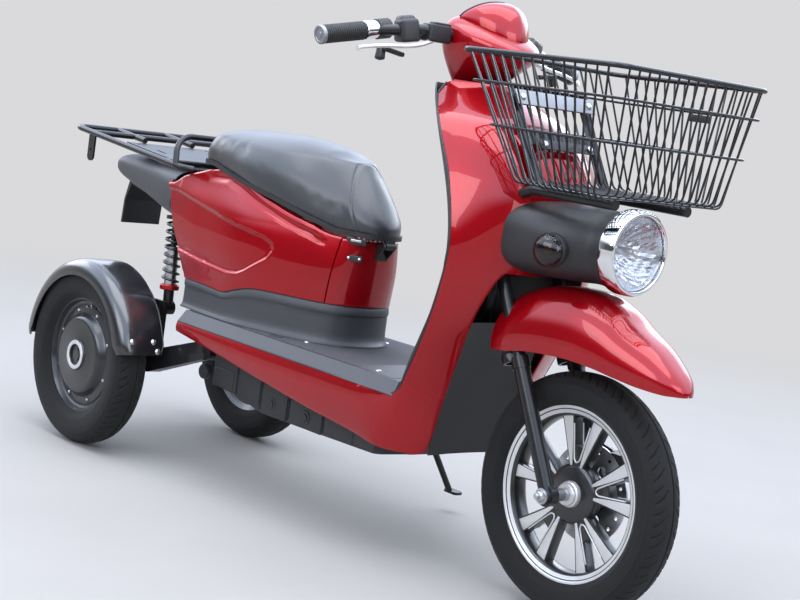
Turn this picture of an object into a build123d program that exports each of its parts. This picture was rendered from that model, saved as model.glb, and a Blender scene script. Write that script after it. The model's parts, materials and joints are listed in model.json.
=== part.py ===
"""Electric tricycle: step-through body, one steered front wheel, two hub-motor rear wheels.

X points forward, Y to the rider's left and Z up. The origin is on the floor, under the middle
of the whole vehicle. All sizes are millimetres.
"""

import os
from math import cos, radians, sin, tan

from build123d import *

os.makedirs("parts", exist_ok=True)

# Wheels and stance
WHEELBASE = 1344
FRONT_AXLE_X = 690
REAR_AXLE_X = FRONT_AXLE_X - WHEELBASE
FRONT_TYRE_R = 228.5
FRONT_TYRE_W = 84
FRONT_RIM_R = 166
FRONT_RIM_W = 52
REAR_TYRE_R = 207.5
REAR_TYRE_W = 82
REAR_RIM_R = 139
REAR_RIM_W = 54
REAR_HALF_TRACK = 248
TYRE_WALL = 10
MOTOR_R = 112
MOTOR_HALF = 30

# Steering
RAKE = 28
STEER_OFFSET = 34
FORK_HALF = 76
SLIDER_R = 15.5
STANCHION_R = 13
STEM_R = 16
HEAD_TUBE_R = 23
HEAD_BOTTOM_Z = 625
HEAD_TOP_Z = 915
AXLE_R = 7
BAR_R = 11
GRIP_R = 17

# Body
FLOOR_Z = 368
SKIN = 3
SKIRT_TOP_Z = 342
SKIRT_HALF = 197
COLLAR_TOP_Z = 452
TUBE_R = 14

# Fits
RUN_GAP = 0.05
SEAT_GAP = 0.3


def save(builder, name):
    """Label one finished piece and write it as a STEP file."""
    builder.part.label = name
    export_step(builder.part, f"parts/{name}.step")


def bar(points, bend, radius, bore=0):
    """A round bar or tube along straight runs joined by arcs."""
    with BuildPart() as piece:
        with BuildLine() as path:
            if len(points) > 2:
                FilletPolyline(*points, radius=bend)
            else:
                Line(*points)
        with BuildSketch(Plane(origin=path.line @ 0, z_dir=path.line % 0)):
            Circle(radius)
            if bore:
                Circle(bore, mode=Mode.SUBTRACT)
        sweep()
    return piece.part


def flipped(points):
    """The same points on the vehicle's other side."""
    return [(x, -y, z) for x, y, z in points]


def wheel_plane(x, y, z):
    """Plane through a wheel's axis: its x runs outwards from the axle, its y along the axle."""
    return Plane(origin=(x, y, z), x_dir=(0, 0, 1), z_dir=(-1, 0, 0))


def side_plane(x, y, z):
    """Plane of a wheel's face: its x points forward and its y up."""
    return Plane(origin=(x, y, z), x_dir=(1, 0, 0), z_dir=(0, -1, 0))


def turned(profile, x, y, z, angle=360, start=(0, 0, 1)):
    """A solid turned about a wheel's axis from (radius, offset) points."""
    with BuildPart() as piece:
        with BuildSketch(Plane(origin=(x, y, z), x_dir=start, z_dir=Vector(start).cross(Vector(0, 1, 0)))):
            with BuildLine():
                Polyline(*profile, close=True)
            make_face()
        revolve(axis=Axis((x, y, z), (0, 1, 0)), revolution_arc=angle)
    return piece.part


def make_tyre(name, x, y, outer_r, width, rim_r, rim_w):
    """A tyre as a hollow carcass that sits between the rim's flanges."""
    bead_r = rim_r - 13
    bead = rim_w / 2 - 4
    foot = bead - TYRE_WALL
    wide_r = (outer_r + rim_r) / 2
    cavity_r = rim_r + 8
    crown_y = width * 0.36
    shoulder_r = outer_r - width * 0.11
    with BuildPart() as piece:
        with BuildSketch(wheel_plane(x, y, outer_r)):
            with BuildLine():
                ThreePointArc((shoulder_r, -crown_y), (outer_r, 0), (shoulder_r, crown_y))
                ThreePointArc((shoulder_r, crown_y), (wide_r, width / 2), (rim_r + 1, rim_w / 2 + 3))
                Polyline((rim_r + 1, rim_w / 2 + 3), (rim_r + 1, bead), (bead_r, bead), (bead_r, foot))
                Line((bead_r, foot), (cavity_r, bead - 4))
                ThreePointArc((cavity_r, bead - 4), (outer_r - TYRE_WALL, 0), (cavity_r, 4 - bead))
                Line((cavity_r, 4 - bead), (bead_r, -foot))
                Polyline((bead_r, -foot), (bead_r, -bead), (rim_r + 1, -bead), (rim_r + 1, -rim_w / 2 - 3))
                ThreePointArc((rim_r + 1, -rim_w / 2 - 3), (wide_r, -width / 2), (shoulder_r, -crown_y))
            make_face()
        revolve(axis=Axis((x, y, outer_r), (0, 1, 0)))
    save(piece, name)


def rim_outline(rim_r, rim_w):
    """Outline of a drop-centre rim: flanges, bead seats, well and inner face."""
    half = rim_w / 2
    side = [
        (rim_r, half), (rim_r, half - 3.5), (rim_r - 13, half - 3.5), (rim_r - 13, half - 13),
        (rim_r - 22, half - 19),
    ]
    back = [(rim_r - 27, half - 16), (rim_r - 16, half)]
    return side + [(r, -y) for r, y in reversed(side)] + [(r, -y) for r, y in reversed(back)] + back


# Front tyre and the two rear tyres
make_tyre("front_tyre", FRONT_AXLE_X, 0, FRONT_TYRE_R, FRONT_TYRE_W, FRONT_RIM_R, FRONT_RIM_W)
for side_name, side in (("right", -1), ("left", 1)):
    make_tyre(f"rear_tyre_{side_name}", REAR_AXLE_X, side * REAR_HALF_TRACK, REAR_TYRE_R, REAR_TYRE_W,
              REAR_RIM_R, REAR_RIM_W)

# Front alloy wheel: rim, hub and five pairs of spokes
HUB_R = 27
HUB_HALF = 32
SPOKE_PAIRS = 5
SPOKE_SPREAD = 15
SPOKE_HALF = 9
front_rim_ring = turned(rim_outline(FRONT_RIM_R, FRONT_RIM_W), FRONT_AXLE_X, 0, FRONT_TYRE_R)
with BuildPart() as front_rim:
    with BuildSketch(side_plane(FRONT_AXLE_X, 0, FRONT_TYRE_R)):
        Circle(HUB_R)
    extrude(amount=HUB_HALF, both=True)
    with BuildSketch(side_plane(FRONT_AXLE_X, 0, FRONT_TYRE_R)):
        reach = FRONT_RIM_R - 25
        for pair in range(SPOKE_PAIRS):
            middle = 90 + 360 / SPOKE_PAIRS * pair
            for lean in (-1, 1):
                root = radians(middle + lean * 12)
                end = radians(middle + lean * SPOKE_SPREAD)
                with BuildLine():
                    foot = Vector(HUB_R * 0.8 * cos(root), HUB_R * 0.8 * sin(root))
                    tip = Vector(reach * cos(end), reach * sin(end))
                    across = (tip - foot).normalized().rotate(Axis.Z, 90)
                    Polyline(foot + across * 5, tip + across * 12, tip - across * 12, foot - across * 5, close=True)
                make_face()
    extrude(amount=SPOKE_HALF, both=True)
    add(front_rim_ring)
    with BuildSketch(side_plane(FRONT_AXLE_X, 0, FRONT_TYRE_R)):
        Circle(AXLE_R + RUN_GAP)
    extrude(amount=HUB_HALF + 1, both=True, mode=Mode.SUBTRACT)
save(front_rim, "front_rim")

# Brake disc on the left of the front hub
DISC_R = 95
DISC_T = 3.5
DISC_Y = HUB_HALF
with BuildPart() as brake_disc:
    with BuildSketch(side_plane(FRONT_AXLE_X, DISC_Y + DISC_T, FRONT_TYRE_R)):
        Circle(DISC_R)
        Circle(AXLE_R + 6, mode=Mode.SUBTRACT)
        with PolarLocations(DISC_R * 0.86, 18):
            Circle(3.5, mode=Mode.SUBTRACT)
        with PolarLocations(DISC_R * 0.56, 6):
            Circle(11, mode=Mode.SUBTRACT)
    extrude(amount=DISC_T)
save(brake_disc, "brake_disc")

# Rear hub-motor wheels: rim, dished side covers and a raised boss outside
REAR_AXLE_R = 9
for side_name, side in (("right", -1), ("left", 1)):
    middle_y = side * REAR_HALF_TRACK
    ring = turned(rim_outline(REAR_RIM_R, REAR_RIM_W), REAR_AXLE_X, middle_y, REAR_TYRE_R)
    outline = [
        (0, MOTOR_HALF), (34, MOTOR_HALF), (36, MOTOR_HALF - 4), (84, MOTOR_HALF - 5), (90, MOTOR_HALF - 10),
        (MOTOR_R, MOTOR_HALF - 14), (REAR_RIM_R - 23, 8), (REAR_RIM_R - 23, -8), (MOTOR_R, 12 - MOTOR_HALF),
        (60, 6 - MOTOR_HALF), (40, -MOTOR_HALF), (REAR_AXLE_R + RUN_GAP, -MOTOR_HALF),
        (REAR_AXLE_R + RUN_GAP, 10), (0, 10),
    ]
    motor = turned([(r, side * y) for r, y in outline], REAR_AXLE_X, middle_y, REAR_TYRE_R)
    with BuildPart() as rear_hub:
        add(ring)
        add(motor)
    save(rear_hub, f"rear_hub_{side_name}")

# Steering axis: raked back from the front axle, a little behind it
lean = radians(RAKE)
AXIS_X = FRONT_AXLE_X - STEER_OFFSET * cos(lean)
AXIS_Z = FRONT_TYRE_R - STEER_OFFSET * sin(lean)


def on_axis(z, ahead=0):
    """Point of the steering axis at a height, or of the line beside it that lies ahead."""
    return AXIS_X - (z - AXIS_Z) * tan(lean) + ahead / cos(lean)


up_axis = Vector(-sin(lean), 0, cos(lean))


def across_axis(z, ahead=0):
    """Plane square to the steering axis at a height: its x points forward and its y left."""
    return Plane(origin=(on_axis(z, ahead), 0, z), x_dir=(cos(lean), 0, sin(lean)), z_dir=up_axis)


def axis_length(low, high):
    """Length along the steering axis between two heights."""
    return (high - low) / cos(lean)


# Sections of the leg shield, of the inner shield and of the splash panel between them
# columns: height, edge x, half width, front x
SHIELD = (
    (228, 322, 172, 417),
    (375, 385, 193, 431),
    (530, 444, 200, 516),
    (660, 464, 201, 558),
    (780, 424, 190, 560),
    (880, 350, 167, 490),
    (950, 262, 105, 365),
)
# columns: height, edge x, half width, centre x
INNER = (
    (371, 376, 186, 340),
    (530, 441, 196, 362),
    (660, 461, 197, 356),
    (780, 421, 186, 308),
    (880, 347, 163, 256),
    (948, 259, 101, 221),
)
# columns: height, edge x, centre x
SPLASH = ((228, 392, 384), (375, 414, 406), (505, 458, 450))

# Head tube, spine, floor rails, rear rails and pivots
RAIL_Y = 95
RAIL_Z = 285
PIVOT_X = -330
PIVOT_Z = 288
PIVOT_R = 16
PIVOT_END = 150
REAR_RAIL_Z = 652
SHOCK_TOP = (-524, 592)
SHOCK_LOW = (-512, 350)
SHOCK_Y = 140
RACK_REAR = -930
RACK_FRONT = -462
RACK_REAR_Z = 725
RACK_FRONT_Z = 682
RACK_R = 7
PLATE_T = 3
PLATE_DROP = RACK_R + SEAT_GAP + PLATE_T
rack_slope = (RACK_REAR_Z - RACK_FRONT_Z) / (RACK_REAR - RACK_FRONT)


def rack_z(x):
    """Height of the rack's tubes at a station."""
    return RACK_FRONT_Z + (x - RACK_FRONT) * rack_slope


# columns: x, y of the posts that carry the rack
RACK_POSTS = ((-525, 88), (-770, 68))
# x of the struts that carry the floor, and how far out they reach
FLOOR_BEARERS = (-150, 230)
BEARER_Y = 140
# columns: height, where the stub leaves the frame, where it meets the leaning panel
SHIELD_STUBS = ((780, on_axis(780), INNER[3][3] + 4.3), (780, on_axis(780), SHIELD[4][3] - SKIN - 2.5),
                (375, 362, SPLASH[1][2] - SKIN - 2.2))
STAND_PIVOT = (60, 166, 226)
STAND_TILT = 34
stand_axis = Vector(0, cos(radians(STAND_TILT)), sin(radians(STAND_TILT)))
frame_spine = bar([(on_axis(720), 0, 720), (388, 0, 560), (350, 0, RAIL_Z), (270, 0, RAIL_Z)], 40, TUBE_R + 1)
with BuildPart() as frame_half:
    add(bar([(300, 0, RAIL_Z), (260, RAIL_Y, RAIL_Z), (-400, RAIL_Y, RAIL_Z), (-440, RAIL_Y, 340),
             (-466, RAIL_Y, REAR_RAIL_Z), (-800, RAIL_Y - 30, REAR_RAIL_Z - 5)], 24, TUBE_R))
    with BuildSketch(Plane(origin=(SHOCK_TOP[0], RAIL_Y, SHOCK_TOP[1]), z_dir=(0, 1, 0))):
        Circle(9)
    extrude(amount=SHOCK_Y + 14 - RAIL_Y)
    with BuildSketch(Plane(origin=(SHOCK_TOP[0], RAIL_Y, SHOCK_TOP[1] - 9), x_dir=(1, 0, 0), z_dir=(0, 0, 1))):
        Rectangle(20, 10)
    extrude(amount=REAR_RAIL_Z - SHOCK_TOP[1])
    for post_x, post_y in RACK_POSTS:
        with BuildSketch(Plane.XY.offset(REAR_RAIL_Z)):
            with Locations((post_x, post_y)):
                Circle(8)
        extrude(amount=rack_z(post_x) - PLATE_DROP - 1 - REAR_RAIL_Z)
    for bearer_x in FLOOR_BEARERS:
        add(bar([(bearer_x, RAIL_Y, RAIL_Z), (bearer_x, BEARER_Y, FLOOR_Z - 16)], 0, 8))
        with BuildSketch(Plane.XY.offset(FLOOR_Z - 22)):
            with Locations((bearer_x, BEARER_Y)):
                Circle(14)
        extrude(amount=22 - SKIN - SEAT_GAP)
with BuildPart() as frame_tubes:
    with BuildSketch(across_axis(HEAD_BOTTOM_Z)):
        Circle(HEAD_TUBE_R)
    extrude(amount=axis_length(HEAD_BOTTOM_Z, HEAD_TOP_Z))
    add(frame_spine)
    add(frame_half.part)
    mirror(frame_half.part, about=Plane.XZ)
    for cross_x, cross_z in ((150, RAIL_Z), (PIVOT_X, PIVOT_Z), (-640, REAR_RAIL_Z)):
        with BuildSketch(Plane(origin=(cross_x, 0, cross_z), z_dir=(0, 1, 0))):
            Circle(TUBE_R - 2)
        extrude(amount=RAIL_Y, both=True)
    with BuildSketch(Plane(origin=(PIVOT_X, 0, PIVOT_Z), z_dir=(0, 1, 0))):
        Circle(PIVOT_R)
    extrude(amount=RAIL_Y + 23, both=True)
    with BuildSketch(Plane(origin=(PIVOT_X, 0, PIVOT_Z), z_dir=(0, 1, 0))):
        Circle(PIVOT_R - 6)
    extrude(amount=PIVOT_END, both=True)
    for stub_z, stub_from, stub_to in SHIELD_STUBS:
        with BuildSketch(Plane(origin=(min(stub_from, stub_to), 0, stub_z), z_dir=(1, 0, 0))):
            Circle(8)
        extrude(amount=abs(stub_to - stub_from))
    bracket_end = Vector(*STAND_PIVOT) - stand_axis * 12
    add(bar([(STAND_PIVOT[0], RAIL_Y, RAIL_Z), tuple(bracket_end)], 0, 9))
    with BuildSketch(Plane(origin=bracket_end - stand_axis * 8, z_dir=stand_axis)):
        Circle(13)
    extrude(amount=16)
    with BuildSketch(Plane(origin=bracket_end, z_dir=stand_axis)):
        Circle(5)
    extrude(amount=24)
    with BuildSketch(across_axis(HEAD_BOTTOM_Z - 5)):
        Circle(STEM_R + RUN_GAP)
    extrude(amount=axis_length(HEAD_BOTTOM_Z, HEAD_TOP_Z) + 12, mode=Mode.SUBTRACT)
save(frame_tubes, "frame_tubes")

# Battery block inside the body
with BuildPart() as battery_box:
    with BuildSketch(Plane.XY.offset(RAIL_Z - TUBE_R)):
        with Locations((-155, 0)):
            RectangleRounded(290, 2 * (RAIL_Y - TUBE_R - SEAT_GAP), 12)
    extrude(amount=270)
save(battery_box, "battery_box")

# Floor board with its sloped side strips
FLOOR_REAR = -384
FLOOR_FRONT = 334
FLOOR_CORNER = 362
FLOOR_FLAT = 176
with BuildPart() as floor_board:
    with BuildSketch(Plane(origin=(FLOOR_REAR, 0, 0), x_dir=(0, 1, 0), z_dir=(1, 0, 0))):
        with BuildLine():
            rim = SKIRT_HALF - 1
            Polyline((-rim, SKIRT_TOP_Z), (-FLOOR_FLAT, FLOOR_Z), (FLOOR_FLAT, FLOOR_Z), (rim, SKIRT_TOP_Z),
                     (rim - SKIN * 1.4, SKIRT_TOP_Z), (FLOOR_FLAT - SKIN, FLOOR_Z - SKIN),
                     (SKIN - FLOOR_FLAT, FLOOR_Z - SKIN), (SKIN * 1.4 - rim, SKIRT_TOP_Z), close=True)
        make_face()
    extrude(amount=FLOOR_CORNER - FLOOR_REAR)
    with BuildSketch(Plane.XY.offset(FLOOR_Z - 40)):
        with BuildLine():
            ThreePointArc((FLOOR_CORNER, -SKIRT_HALF), (FLOOR_FRONT, 0), (FLOOR_CORNER, SKIRT_HALF))
            Line((FLOOR_CORNER, SKIRT_HALF), (FLOOR_CORNER, -SKIRT_HALF))
        make_face()
    extrude(amount=80, mode=Mode.SUBTRACT)
    with BuildSketch(Plane.XY.offset(FLOOR_Z - 40)):
        with Locations((FLOOR_REAR / 2 - 10, 0)):
            Rectangle(-FLOOR_REAR + 20, 230)
    extrude(amount=80, mode=Mode.SUBTRACT)
save(floor_board, "floor_board")


# Leg shield, inner shield and splash panel are bowed strips, lofted from the bottom up
def band(height, edge_x, half, middle_x, skin):
    """One bowed strip of panel, seen from above, with its thickness behind its face."""
    rear_x = edge_x - 1.6 * skin
    with BuildSketch(Plane.XY.offset(height)) as strip:
        with BuildLine():
            ThreePointArc((edge_x, -half), (middle_x, 0), (edge_x, half))
            Line((edge_x, half), (rear_x, half))
            ThreePointArc((rear_x, half), (middle_x - skin, 0), (rear_x, -half))
            Line((rear_x, -half), (edge_x, -half))
        make_face()
    return strip.sketch


SPLASH_HALF = 106
SPLASH_TOP_Z = 612
GUARD_SWEEP_R = 124
with BuildPart() as leg_shield:
    for row in SHIELD:
        add(band(*row, SKIN))
    loft()
    with BuildSketch(Plane(origin=(0, 0, 0), x_dir=(0, 1, 0), z_dir=(1, 0, 0))):
        with Locations((0, (SPLASH_TOP_Z + 200) / 2)):
            Rectangle(2 * SPLASH_HALF, SPLASH_TOP_Z - 200)
    extrude(amount=700, mode=Mode.SUBTRACT)
    with BuildSketch(across_axis(470)):
        Circle(GUARD_SWEEP_R)
    extrude(amount=axis_length(470, 575), mode=Mode.SUBTRACT)
save(leg_shield, "leg_shield")

with BuildPart() as inner_shield:
    for row in INNER:
        add(band(*row, SKIN))
    loft()
save(inner_shield, "inner_shield")

# Splash panel behind the front wheel
with BuildPart() as splash_panel:
    for height, edge_x, middle_x in SPLASH:
        add(band(height, edge_x, SPLASH_HALF - 1, middle_x, SKIN))
    loft()
save(splash_panel, "splash_panel")

# Red skirts along the floor: a C-shaped strip that grows deeper and draws in towards the shield
SKIRT_DEPTH = 14
skirt_top = SKIRT_TOP_Z - SEAT_GAP
# columns: x, half width at the top, half width at the bottom, height of the lower edge
SKIRT = ((-384, 197, 197, 320), (96, 197, 194, 262), (300, 192, 176, 231), (370, 190, 172, 222))
with BuildPart() as side_skirts:
    for x, top, low, low_z in SKIRT:
        with BuildSketch(Plane(origin=(x, 0, 0), x_dir=(0, 1, 0), z_dir=(1, 0, 0))):
            with BuildLine():
                Polyline((-top, skirt_top), (-low, low_z), (SKIRT_DEPTH - low, low_z),
                         (SKIRT_DEPTH - low, low_z + SKIN), (SKIN - low, low_z + SKIN),
                         (SKIN - top, skirt_top - SKIN), (SKIRT_DEPTH - top, skirt_top - SKIN),
                         (SKIRT_DEPTH - top, skirt_top), close=True)
            make_face()
    loft(ruled=True)
    with BuildSketch(side_plane(0, -150, 0)):
        with BuildLine():
            Polyline((316, 150), (316, 228), (362, skirt_top + 2), (420, skirt_top + 2), (420, 150), close=True)
        make_face()
    extrude(amount=80, mode=Mode.SUBTRACT)
    mirror(about=Plane.XZ)
save(side_skirts, "side_skirts")

# Belly cover: an open pan under the floor, with a slot for the stand on its left
BELLY_HALF = 150
BELLY_TOP_Z = 316
BELLY_REAR = -285
STAND_Z = 250
BELLY_TABS = (-200, 180)
# columns: x, height of the lower edge
BELLY_LOWER = ((340, 216), (290, 205), (60, 200), (-93, 198), (-180, 213), (BELLY_REAR, 222))
BELLY_NOSE = 100


def belly_block(inset, top):
    """The belly pan's solid block, narrower at its nose, drawn in by an inset."""
    with BuildPart() as block:
        with BuildSketch(side_plane(0, 0, 0)):
            with BuildLine():
                Polyline((BELLY_REAR + inset, top), (366 - inset, top), (358 - inset, 235 + inset),
                         *[(x, z + inset) for x, z in BELLY_LOWER[:-1]],
                         (BELLY_REAR + inset, BELLY_LOWER[-1][1] + inset), close=True)
            make_face()
        extrude(amount=BELLY_HALF - inset, both=True)
        with BuildSketch(Plane.XY.offset(150)):
            with BuildLine():
                half = BELLY_HALF - inset
                nose = BELLY_NOSE - inset
                Polyline((BELLY_REAR - 20, -half), (280, -half), (320, -nose), (400, -nose), (400, nose),
                         (320, nose), (280, half), (BELLY_REAR - 20, half), close=True)
            make_face()
        extrude(amount=300, mode=Mode.INTERSECT)
    return block.part


with BuildPart() as belly_cover:
    add(belly_block(0, BELLY_TOP_Z))
    add(belly_block(SKIN, BELLY_TOP_Z + 9), mode=Mode.SUBTRACT)
    for tab_x in BELLY_TABS:
        for side in (-1, 1):
            with BuildSketch(Plane(origin=(tab_x, side * (RAIL_Y + TUBE_R + SEAT_GAP + 20), RAIL_Z + 6),
                                   x_dir=(0, 1, 0), z_dir=(1, 0, 0))):
                Rectangle(40, 40)
            extrude(amount=SKIN)
    with BuildSketch(side_plane(STAND_PIVOT[0], RAIL_Y + TUBE_R + 12, STAND_Z)):
        Rectangle(70, 80)
    extrude(amount=-100, mode=Mode.SUBTRACT)
    with BuildSketch(Plane(origin=(340, 0, RAIL_Z + 10), x_dir=(0, 1, 0), z_dir=(1, 0, 0))):
        Rectangle(60, 70)
    extrude(amount=50, mode=Mode.SUBTRACT)
    with BuildSketch(Plane(origin=(BELLY_REAR - 5, 0, RAIL_Z + 12), x_dir=(0, 1, 0), z_dir=(1, 0, 0))):
        Rectangle(240, 72)
    extrude(amount=20, mode=Mode.SUBTRACT)
save(belly_cover, "belly_cover")


def body_outline(height, rear_x, rear_half, middle_x, middle_half, corner_x, corner_half, front_x, inset=0):
    """Plan of the seat body at one height: bowed sides that taper into a round nose."""
    with BuildSketch(Plane.XY.offset(height)) as plan:
        with BuildLine():
            ThreePointArc((rear_x, inset - rear_half), (middle_x, inset - middle_half),
                          (corner_x, inset - corner_half))
            ThreePointArc((corner_x, inset - corner_half), (front_x - inset, 0), (corner_x, corner_half - inset))
            ThreePointArc((corner_x, corner_half - inset), (middle_x, middle_half - inset),
                          (rear_x, rear_half - inset))
            Line((rear_x, rear_half - inset), (rear_x, inset - rear_half))
        make_face()
    return plan.sketch


def body_shell(rows):
    """An upright shell lofted through body outlines and open behind, above and below."""
    with BuildPart() as inner:
        for row in rows:
            height, rear_x, *rest = row
            add(body_outline(height, rear_x - 10, *rest, inset=SKIN))
        loft()
    with BuildPart() as shell:
        for row in rows:
            add(body_outline(*row))
        loft()
        add(inner.part, mode=Mode.SUBTRACT)
    return shell.part


# columns: height, rear x, rear half, middle x, middle half, corner x, corner half, front x
COLLAR = (
    (FLOOR_Z + SEAT_GAP, -395, 162, -200, 168, -10, 104, 36),
    (COLLAR_TOP_Z, -444, 158, -220, 162, -8, 95, 40),
)
BODY = (
    (COLLAR_TOP_Z + SEAT_GAP, -446, 157, -220, 161, -8, 92, 42),
    (530, -492, 166, -240, 171, -1, 88, 47),
    (600, -530, 160, -240, 163, 5, 76, 49),
    (690, -575, 140, -260, 140, 8, 58, 41),
)
# columns: x, height of the line where the seat begins
SEAT_LINE = ((-600, 640), (-480, 660), (-390, 688), (-168, 641), (-21, 598), (120, 596))

with BuildPart() as body_collar:
    add(body_shell(COLLAR))
save(body_collar, "body_collar")

seam_low = (-10, 458)
seam_high = (10, 587)
seam_slope = (seam_high[0] - seam_low[0]) / (seam_high[1] - seam_low[1])


def seam_x(height):
    """Where the side panels meet the front panel at a height."""
    return seam_low[0] + (height - seam_low[1]) * seam_slope


with BuildPart() as body_skin:
    add(body_shell(BODY))
    with BuildSketch(Plane(origin=(0, 0, 0), x_dir=(1, 0, 0), z_dir=(0, -1, 0))):
        with BuildLine():
            Polyline(*SEAT_LINE, (120, 800), (-650, 800), (-650, 640), close=True)
        make_face()
    extrude(amount=300, both=True, mode=Mode.SUBTRACT)

with BuildPart() as side_panels:
    add(body_skin.part)
    with BuildSketch(Plane(origin=(0, 0, 0), x_dir=(1, 0, 0), z_dir=(0, -1, 0))):
        with BuildLine():
            Polyline((seam_x(400), 400), (200, 400), (200, 700), (seam_x(700), 700), close=True)
        make_face()
    extrude(amount=300, both=True, mode=Mode.SUBTRACT)
save(side_panels, "side_panels")

with BuildPart() as seat_front_panel:
    add(body_skin.part)
    with BuildSketch(Plane(origin=(0, 0, 0), x_dir=(1, 0, 0), z_dir=(0, -1, 0))):
        with BuildLine():
            Polyline((seam_x(400) + 1, 400), (200, 400), (200, 700), (seam_x(700) + 1, 700), close=True)
        make_face()
    extrude(amount=300, both=True, mode=Mode.INTERSECT)
save(seat_front_panel, "seat_front_panel")

# Seat hinge: a plate on the nose of the body with two ears and a pin
HINGE_X = 70
HINGE_Z = 594
HINGE_PIN_R = 4
HINGE_HALF = 14
HINGE_PLATE_X = BODY[2][7] - 0.06
with BuildPart() as seat_hinge:
    with BuildSketch(Plane(origin=(HINGE_PLATE_X, 0, 0), x_dir=(0, 1, 0), z_dir=(1, 0, 0))):
        with Locations((0, HINGE_Z - 18)):
            Rectangle(2 * HINGE_HALF + 6, 32)
    extrude(amount=SKIN)
    for side in (-1, 1):
        with BuildSketch(side_plane(0, side * (HINGE_HALF + 1.5) + 1.5, 0)):
            with BuildLine():
                Polyline((HINGE_PLATE_X, HINGE_Z - 34), (HINGE_X + 2, HINGE_Z - 8), (HINGE_X + 7, HINGE_Z),
                         (HINGE_X + 2, HINGE_Z + 7), (HINGE_PLATE_X, HINGE_Z - 2), close=True)
            make_face()
        extrude(amount=SKIN)
    with BuildSketch(side_plane(HINGE_X, 0, HINGE_Z)):
        Circle(HINGE_PIN_R)
    extrude(amount=HINGE_HALF + 2, both=True)
save(seat_hinge, "seat_hinge")


def cross_loft(rows, inset=0):
    """A solid lofted through round-cornered cross-sections set along X."""
    with BuildPart() as piece:
        for x, middle_z, half, height, corner in rows:
            with BuildSketch(Plane(origin=(x, 0, middle_z), x_dir=(0, 1, 0), z_dir=(1, 0, 0))):
                RectangleRounded(2 * (half - inset), height - 2 * inset, corner - inset)
        loft(ruled=True)
    return piece.part


# Tail cover behind the seat body
# columns: x, middle height, half width, height, corner radius
TAIL = ((-546, 610, 146, 128, 30), (-700, 627, 118, 102, 26), (-905, 644, 88, 56, 22))
with BuildPart() as tail_cover:
    add(cross_loft(TAIL))
    add(cross_loft([TAIL[0], TAIL[1], (TAIL[2][0] + SKIN, *TAIL[2][1:])], inset=SKIN), mode=Mode.SUBTRACT)
    post_x, post_y = RACK_POSTS[1]
    with BuildSketch(Plane.XY.offset(REAR_RAIL_Z)):
        with Locations((post_x, post_y), (post_x, -post_y)):
            Circle(8 + SEAT_GAP)
    extrude(amount=60, mode=Mode.SUBTRACT)
save(tail_cover, "tail_cover")

# Licence bracket and tail lamp
with BuildPart() as licence_bracket:
    with BuildSketch(Plane(origin=(0, 0, 0), x_dir=(1, 0, 0), z_dir=(0, -1, 0))):
        with BuildLine():
            Polyline((-780, 600), (-868, 616), (-886, 560), (-890, 500), (-884, 500), (-880, 558), (-862, 600),
                     (-780, 584), close=True)
        make_face()
    extrude(amount=55, both=True)
    add(cross_loft(TAIL), mode=Mode.SUBTRACT)
save(licence_bracket, "licence_bracket")

with BuildPart() as tail_lamp:
    with BuildSketch(Plane(origin=(-905 - SEAT_GAP, 0, 645), x_dir=(0, 1, 0), z_dir=(-1, 0, 0))):
        RectangleRounded(120, 36, 12)
    extrude(amount=9)
    fillet(tail_lamp.faces().sort_by(Axis.X)[0].edges(), 4)
save(tail_lamp, "tail_lamp")

# Rear rack: outer loop, cross bars, grab hoop and hanging tabs
RACK_HALF = 190
PLATE_REAR = -806
PLATE_FRONT = -496
rack_corner = (RACK_FRONT + 12, RACK_HALF - 30, rack_z(RACK_FRONT) - 2)
loop_half = [rack_corner, (RACK_FRONT, RACK_HALF, rack_z(RACK_FRONT)), (RACK_REAR, RACK_HALF, RACK_REAR_Z)]
hoop_half = [(-478, RACK_HALF, rack_z(-478)), (-506, RACK_HALF - 16, 750)]
with BuildPart() as rack:
    add(bar(loop_half + flipped(loop_half)[::-1], 28, RACK_R))
    add(bar(hoop_half + flipped(hoop_half)[::-1], 50, RACK_R))
    for cross_x in (-850, -520):
        add(bar([(cross_x, -RACK_HALF, rack_z(cross_x)), (cross_x, RACK_HALF, rack_z(cross_x))], 0, RACK_R))
    for bar_y in (-70, 70):
        add(bar([(RACK_REAR, bar_y, RACK_REAR_Z), (-800, bar_y, rack_z(-800))], 0, RACK_R))
    for bar_y in (-RACK_HALF, RACK_HALF):
        with BuildSketch(Plane(origin=(-846, bar_y, rack_z(-846) - 32), x_dir=(1, 0, 0), z_dir=(0, -1, 0))):
            SlotOverall(72, 26, rotation=90)
            with Locations((0, -10)):
                Circle(4, mode=Mode.SUBTRACT)
        extrude(amount=2.5, both=True)
save(rack, "rack")

# Slotted carrier plate under the rack's bars
RACK_BOLTS_X = -670
RACK_BOLTS_PITCH = 220
with BuildPart() as rack_plate:
    with BuildSketch(Plane(origin=(0, 0, 0), x_dir=(1, 0, 0), z_dir=(0, -1, 0))):
        with BuildLine():
            Polyline((PLATE_REAR, rack_z(PLATE_REAR) - RACK_R - SEAT_GAP),
                     (PLATE_FRONT, rack_z(PLATE_FRONT) - RACK_R - SEAT_GAP),
                     (PLATE_FRONT, rack_z(PLATE_FRONT) - PLATE_DROP),
                     (PLATE_REAR, rack_z(PLATE_REAR) - PLATE_DROP), close=True)
        make_face()
    extrude(amount=118, both=True)
    with BuildSketch(Plane.XY.offset(RACK_FRONT_Z - 40)):
        for slot_x in (-700, -580):
            with Locations((slot_x, 85), (slot_x, -85)):
                SlotOverall(40, 9)
        for hole_x in (RACK_BOLTS_X - RACK_BOLTS_PITCH / 2, RACK_BOLTS_X + RACK_BOLTS_PITCH / 2):
            with Locations((hole_x, 100), (hole_x, -100)):
                Circle(4.5)
    extrude(amount=100, mode=Mode.SUBTRACT)
save(rack_plate, "rack_plate")

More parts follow.
